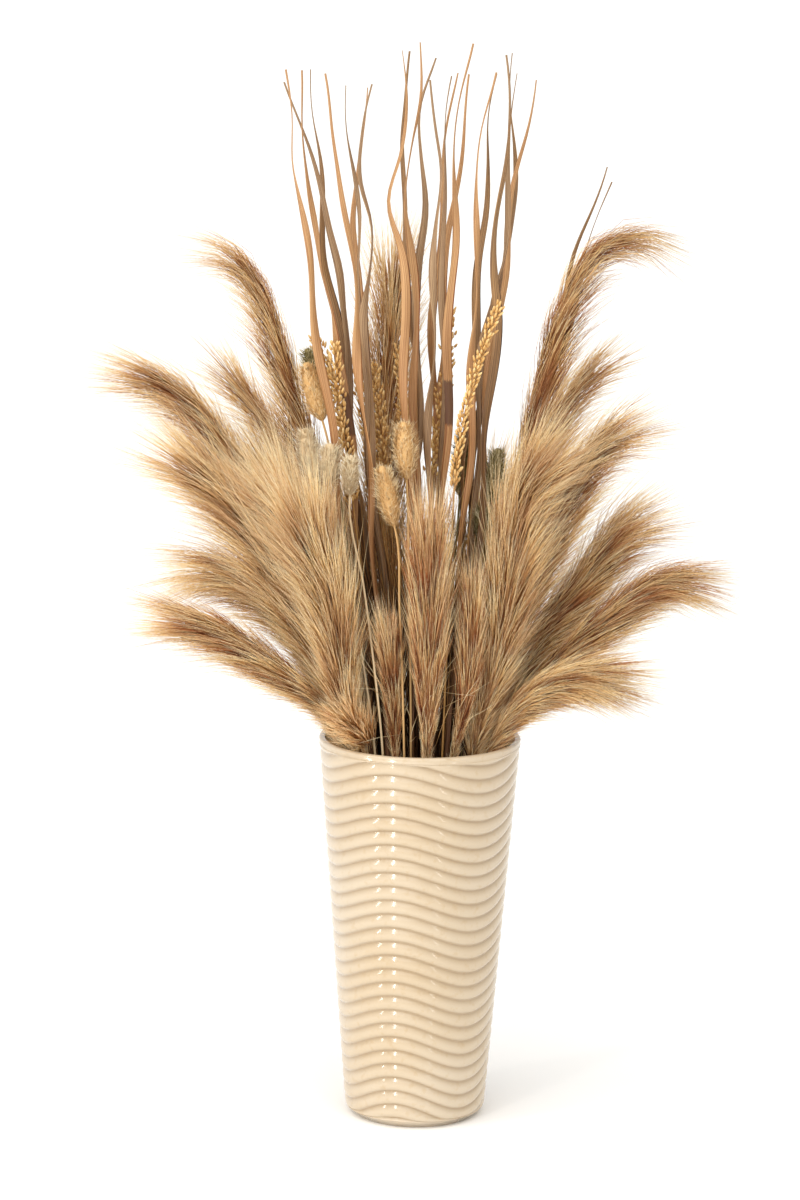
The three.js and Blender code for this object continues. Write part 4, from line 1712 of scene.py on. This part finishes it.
def build_straw() -> None:
    """Make what lies loose: the inner straw, a few stray stalks and a tuft of hair at the rim."""
    net = StrandNet()
    straw = straw_finish().build()
    stray = tail_finish("stray_strands", "b98d58", "f0d8a6").build()
    tuft = tail_finish("tuft_strands", "b46a30", "fcd08c").build()
    pieces = (
        LooseStraw("inner_straw", straw, 1500),
        LooseStraw(
            "stray_straw", stray, 1600, bottom=(0.0, -38.0, 356.0), top=(4.0, -78.0, 440.0),
            radius=36.0, stalks=44, length=70.0, lean=62.0, thickness=0.3, end=0.8,
        ),
        LooseStraw(
            "rim_tuft", tuft, 1700, bottom=(-46.0, -58.0, 356.0), top=(-74.0, -72.0, 392.0),
            radius=8.0, stalks=800, length=34.0, lean=44.0, thickness=0.26, end=0.7, slot="plume_fibre",
        ),
    )
    for piece in pieces:
        piece.build(net)


def build_plumes() -> None:
    """Make every pampas plume."""
    net = StrandNet()
    finish = plume_finish().build()
    for habit, numbers in HABITS.items():
        for number in numbers:
            Plume(f"pampas_plume_{number:02d}", habit, seed=100 + number * 20).build(net, finish)


def build_blades() -> None:
    """Make every curly blade: one for each CAD node, and five more beside their neighbours."""
    tones = list(BladeTone)
    finishes = [DriedBlade(f"blade_{tone.name.lower()}", *tone.value).build() for tone in tones]
    sheathed = DriedBlade("blade_sheathed", *BladeTone.WARM.value, sheath=0.58).build()
    pattern = (0, 1, 0, 2, 0, 1, 2, 1, 0, 2, 0, 1, 1, 0, 0, 0, 2, 1, 2, 0)
    spines = {}
    for index, choice in enumerate(pattern):
        node = f"curly_blade_{index + 1:02d}"
        spines[node] = Spine.of(node)
        finish = sheathed if index in (2, 6, 13) else finishes[choice]
        CurlyBlade(f"{node}_dried", spines[node], finish, node, turn=index * 1.7).build()
    extras = (  # neighbour, shift at the foot and at the tip in mm, how slim, finish
        ("curly_blade_15", (6, 9, 0), (-14, 10, 0), 0.9, 0),
        ("curly_blade_14", (9, 8, 0), (-14, 22, -30), 0.8, 1),
        ("curly_blade_16", (8, -8, 0), (22, -6, 0), 1.0, 2),
        ("curly_blade_20", (6, 16, 0), (64, 26, -78), 0.85, 2),
        ("curly_blade_20", (10, 10, 0), (70, 34, -92), 0.75, 2),
    )
    for index, (beside, foot, tip, slimmer, choice) in enumerate(extras):
        spine = spines[beside].moved(foot, tip, slimmer)
        CurlyBlade(f"curly_blade_extra_{index + 1}", spine, finishes[choice], turn=index * 2.3).build()


def build_tails() -> None:
    """Make every bunny tail: one for each CAD node, and two more beside their neighbours."""
    net = StrandNet()
    golden = tail_finish("tail_golden", "cfa266", "f2d6a2").build()
    pale = tail_finish("tail_pale", "d8bd92", "f8eacc").build()
    olive = tail_finish("tail_olive", "75683f", "a99a62").build()
    finishes = (golden, olive, pale, pale, golden, golden, olive, olive)
    spines = {}
    for index, finish in enumerate(finishes):
        node = f"bunny_tail_{index + 1:02d}"
        spines[node] = Spine.of(node)
        BunnyTail(f"{node}_fur", spines[node], finish, 700 + index * 20, node).build(net)
    extras = (  # neighbour, shift at the foot and at the tip in mm, finish
        ("bunny_tail_03", (-6, 8, 0), (-24, 30, 8), pale),
        ("bunny_tail_07", (-8, -8, 0), (-12, -10, -50), olive),
    )
    for index, (beside, foot, tip, finish) in enumerate(extras):
        spine = spines[beside].moved(foot, tip)
        BunnyTail(f"bunny_tail_extra_{index + 1}", spine, finish, 900 + index * 20).build(net)


def build_sprays() -> None:
    """Make every rice spray."""
    net = GrainNet()
    finish = RiceHusk().build()
    for number in range(1, 8):
        spray = RiceSpray(f"rice_spray_{number:02d}", seed=1000 + number * 20)
        if number == 1:
            spray.looseness = 3 * MM
        spray.build(net, finish)


def main() -> None:
    """Build the whole arrangement and the set it stands on."""
    logging.basicConfig(level=logging.INFO, format="%(name)s %(message)s")
    Studio().build()
    Vase().build(RidgeNet(), CreamGlaze().build())
    FoamPlug().dress(DryFoam().build())
    build_straw()
    build_plumes()
    build_blades()
    build_tails()
    build_sprays()


if __name__ == "__main__":
    main()
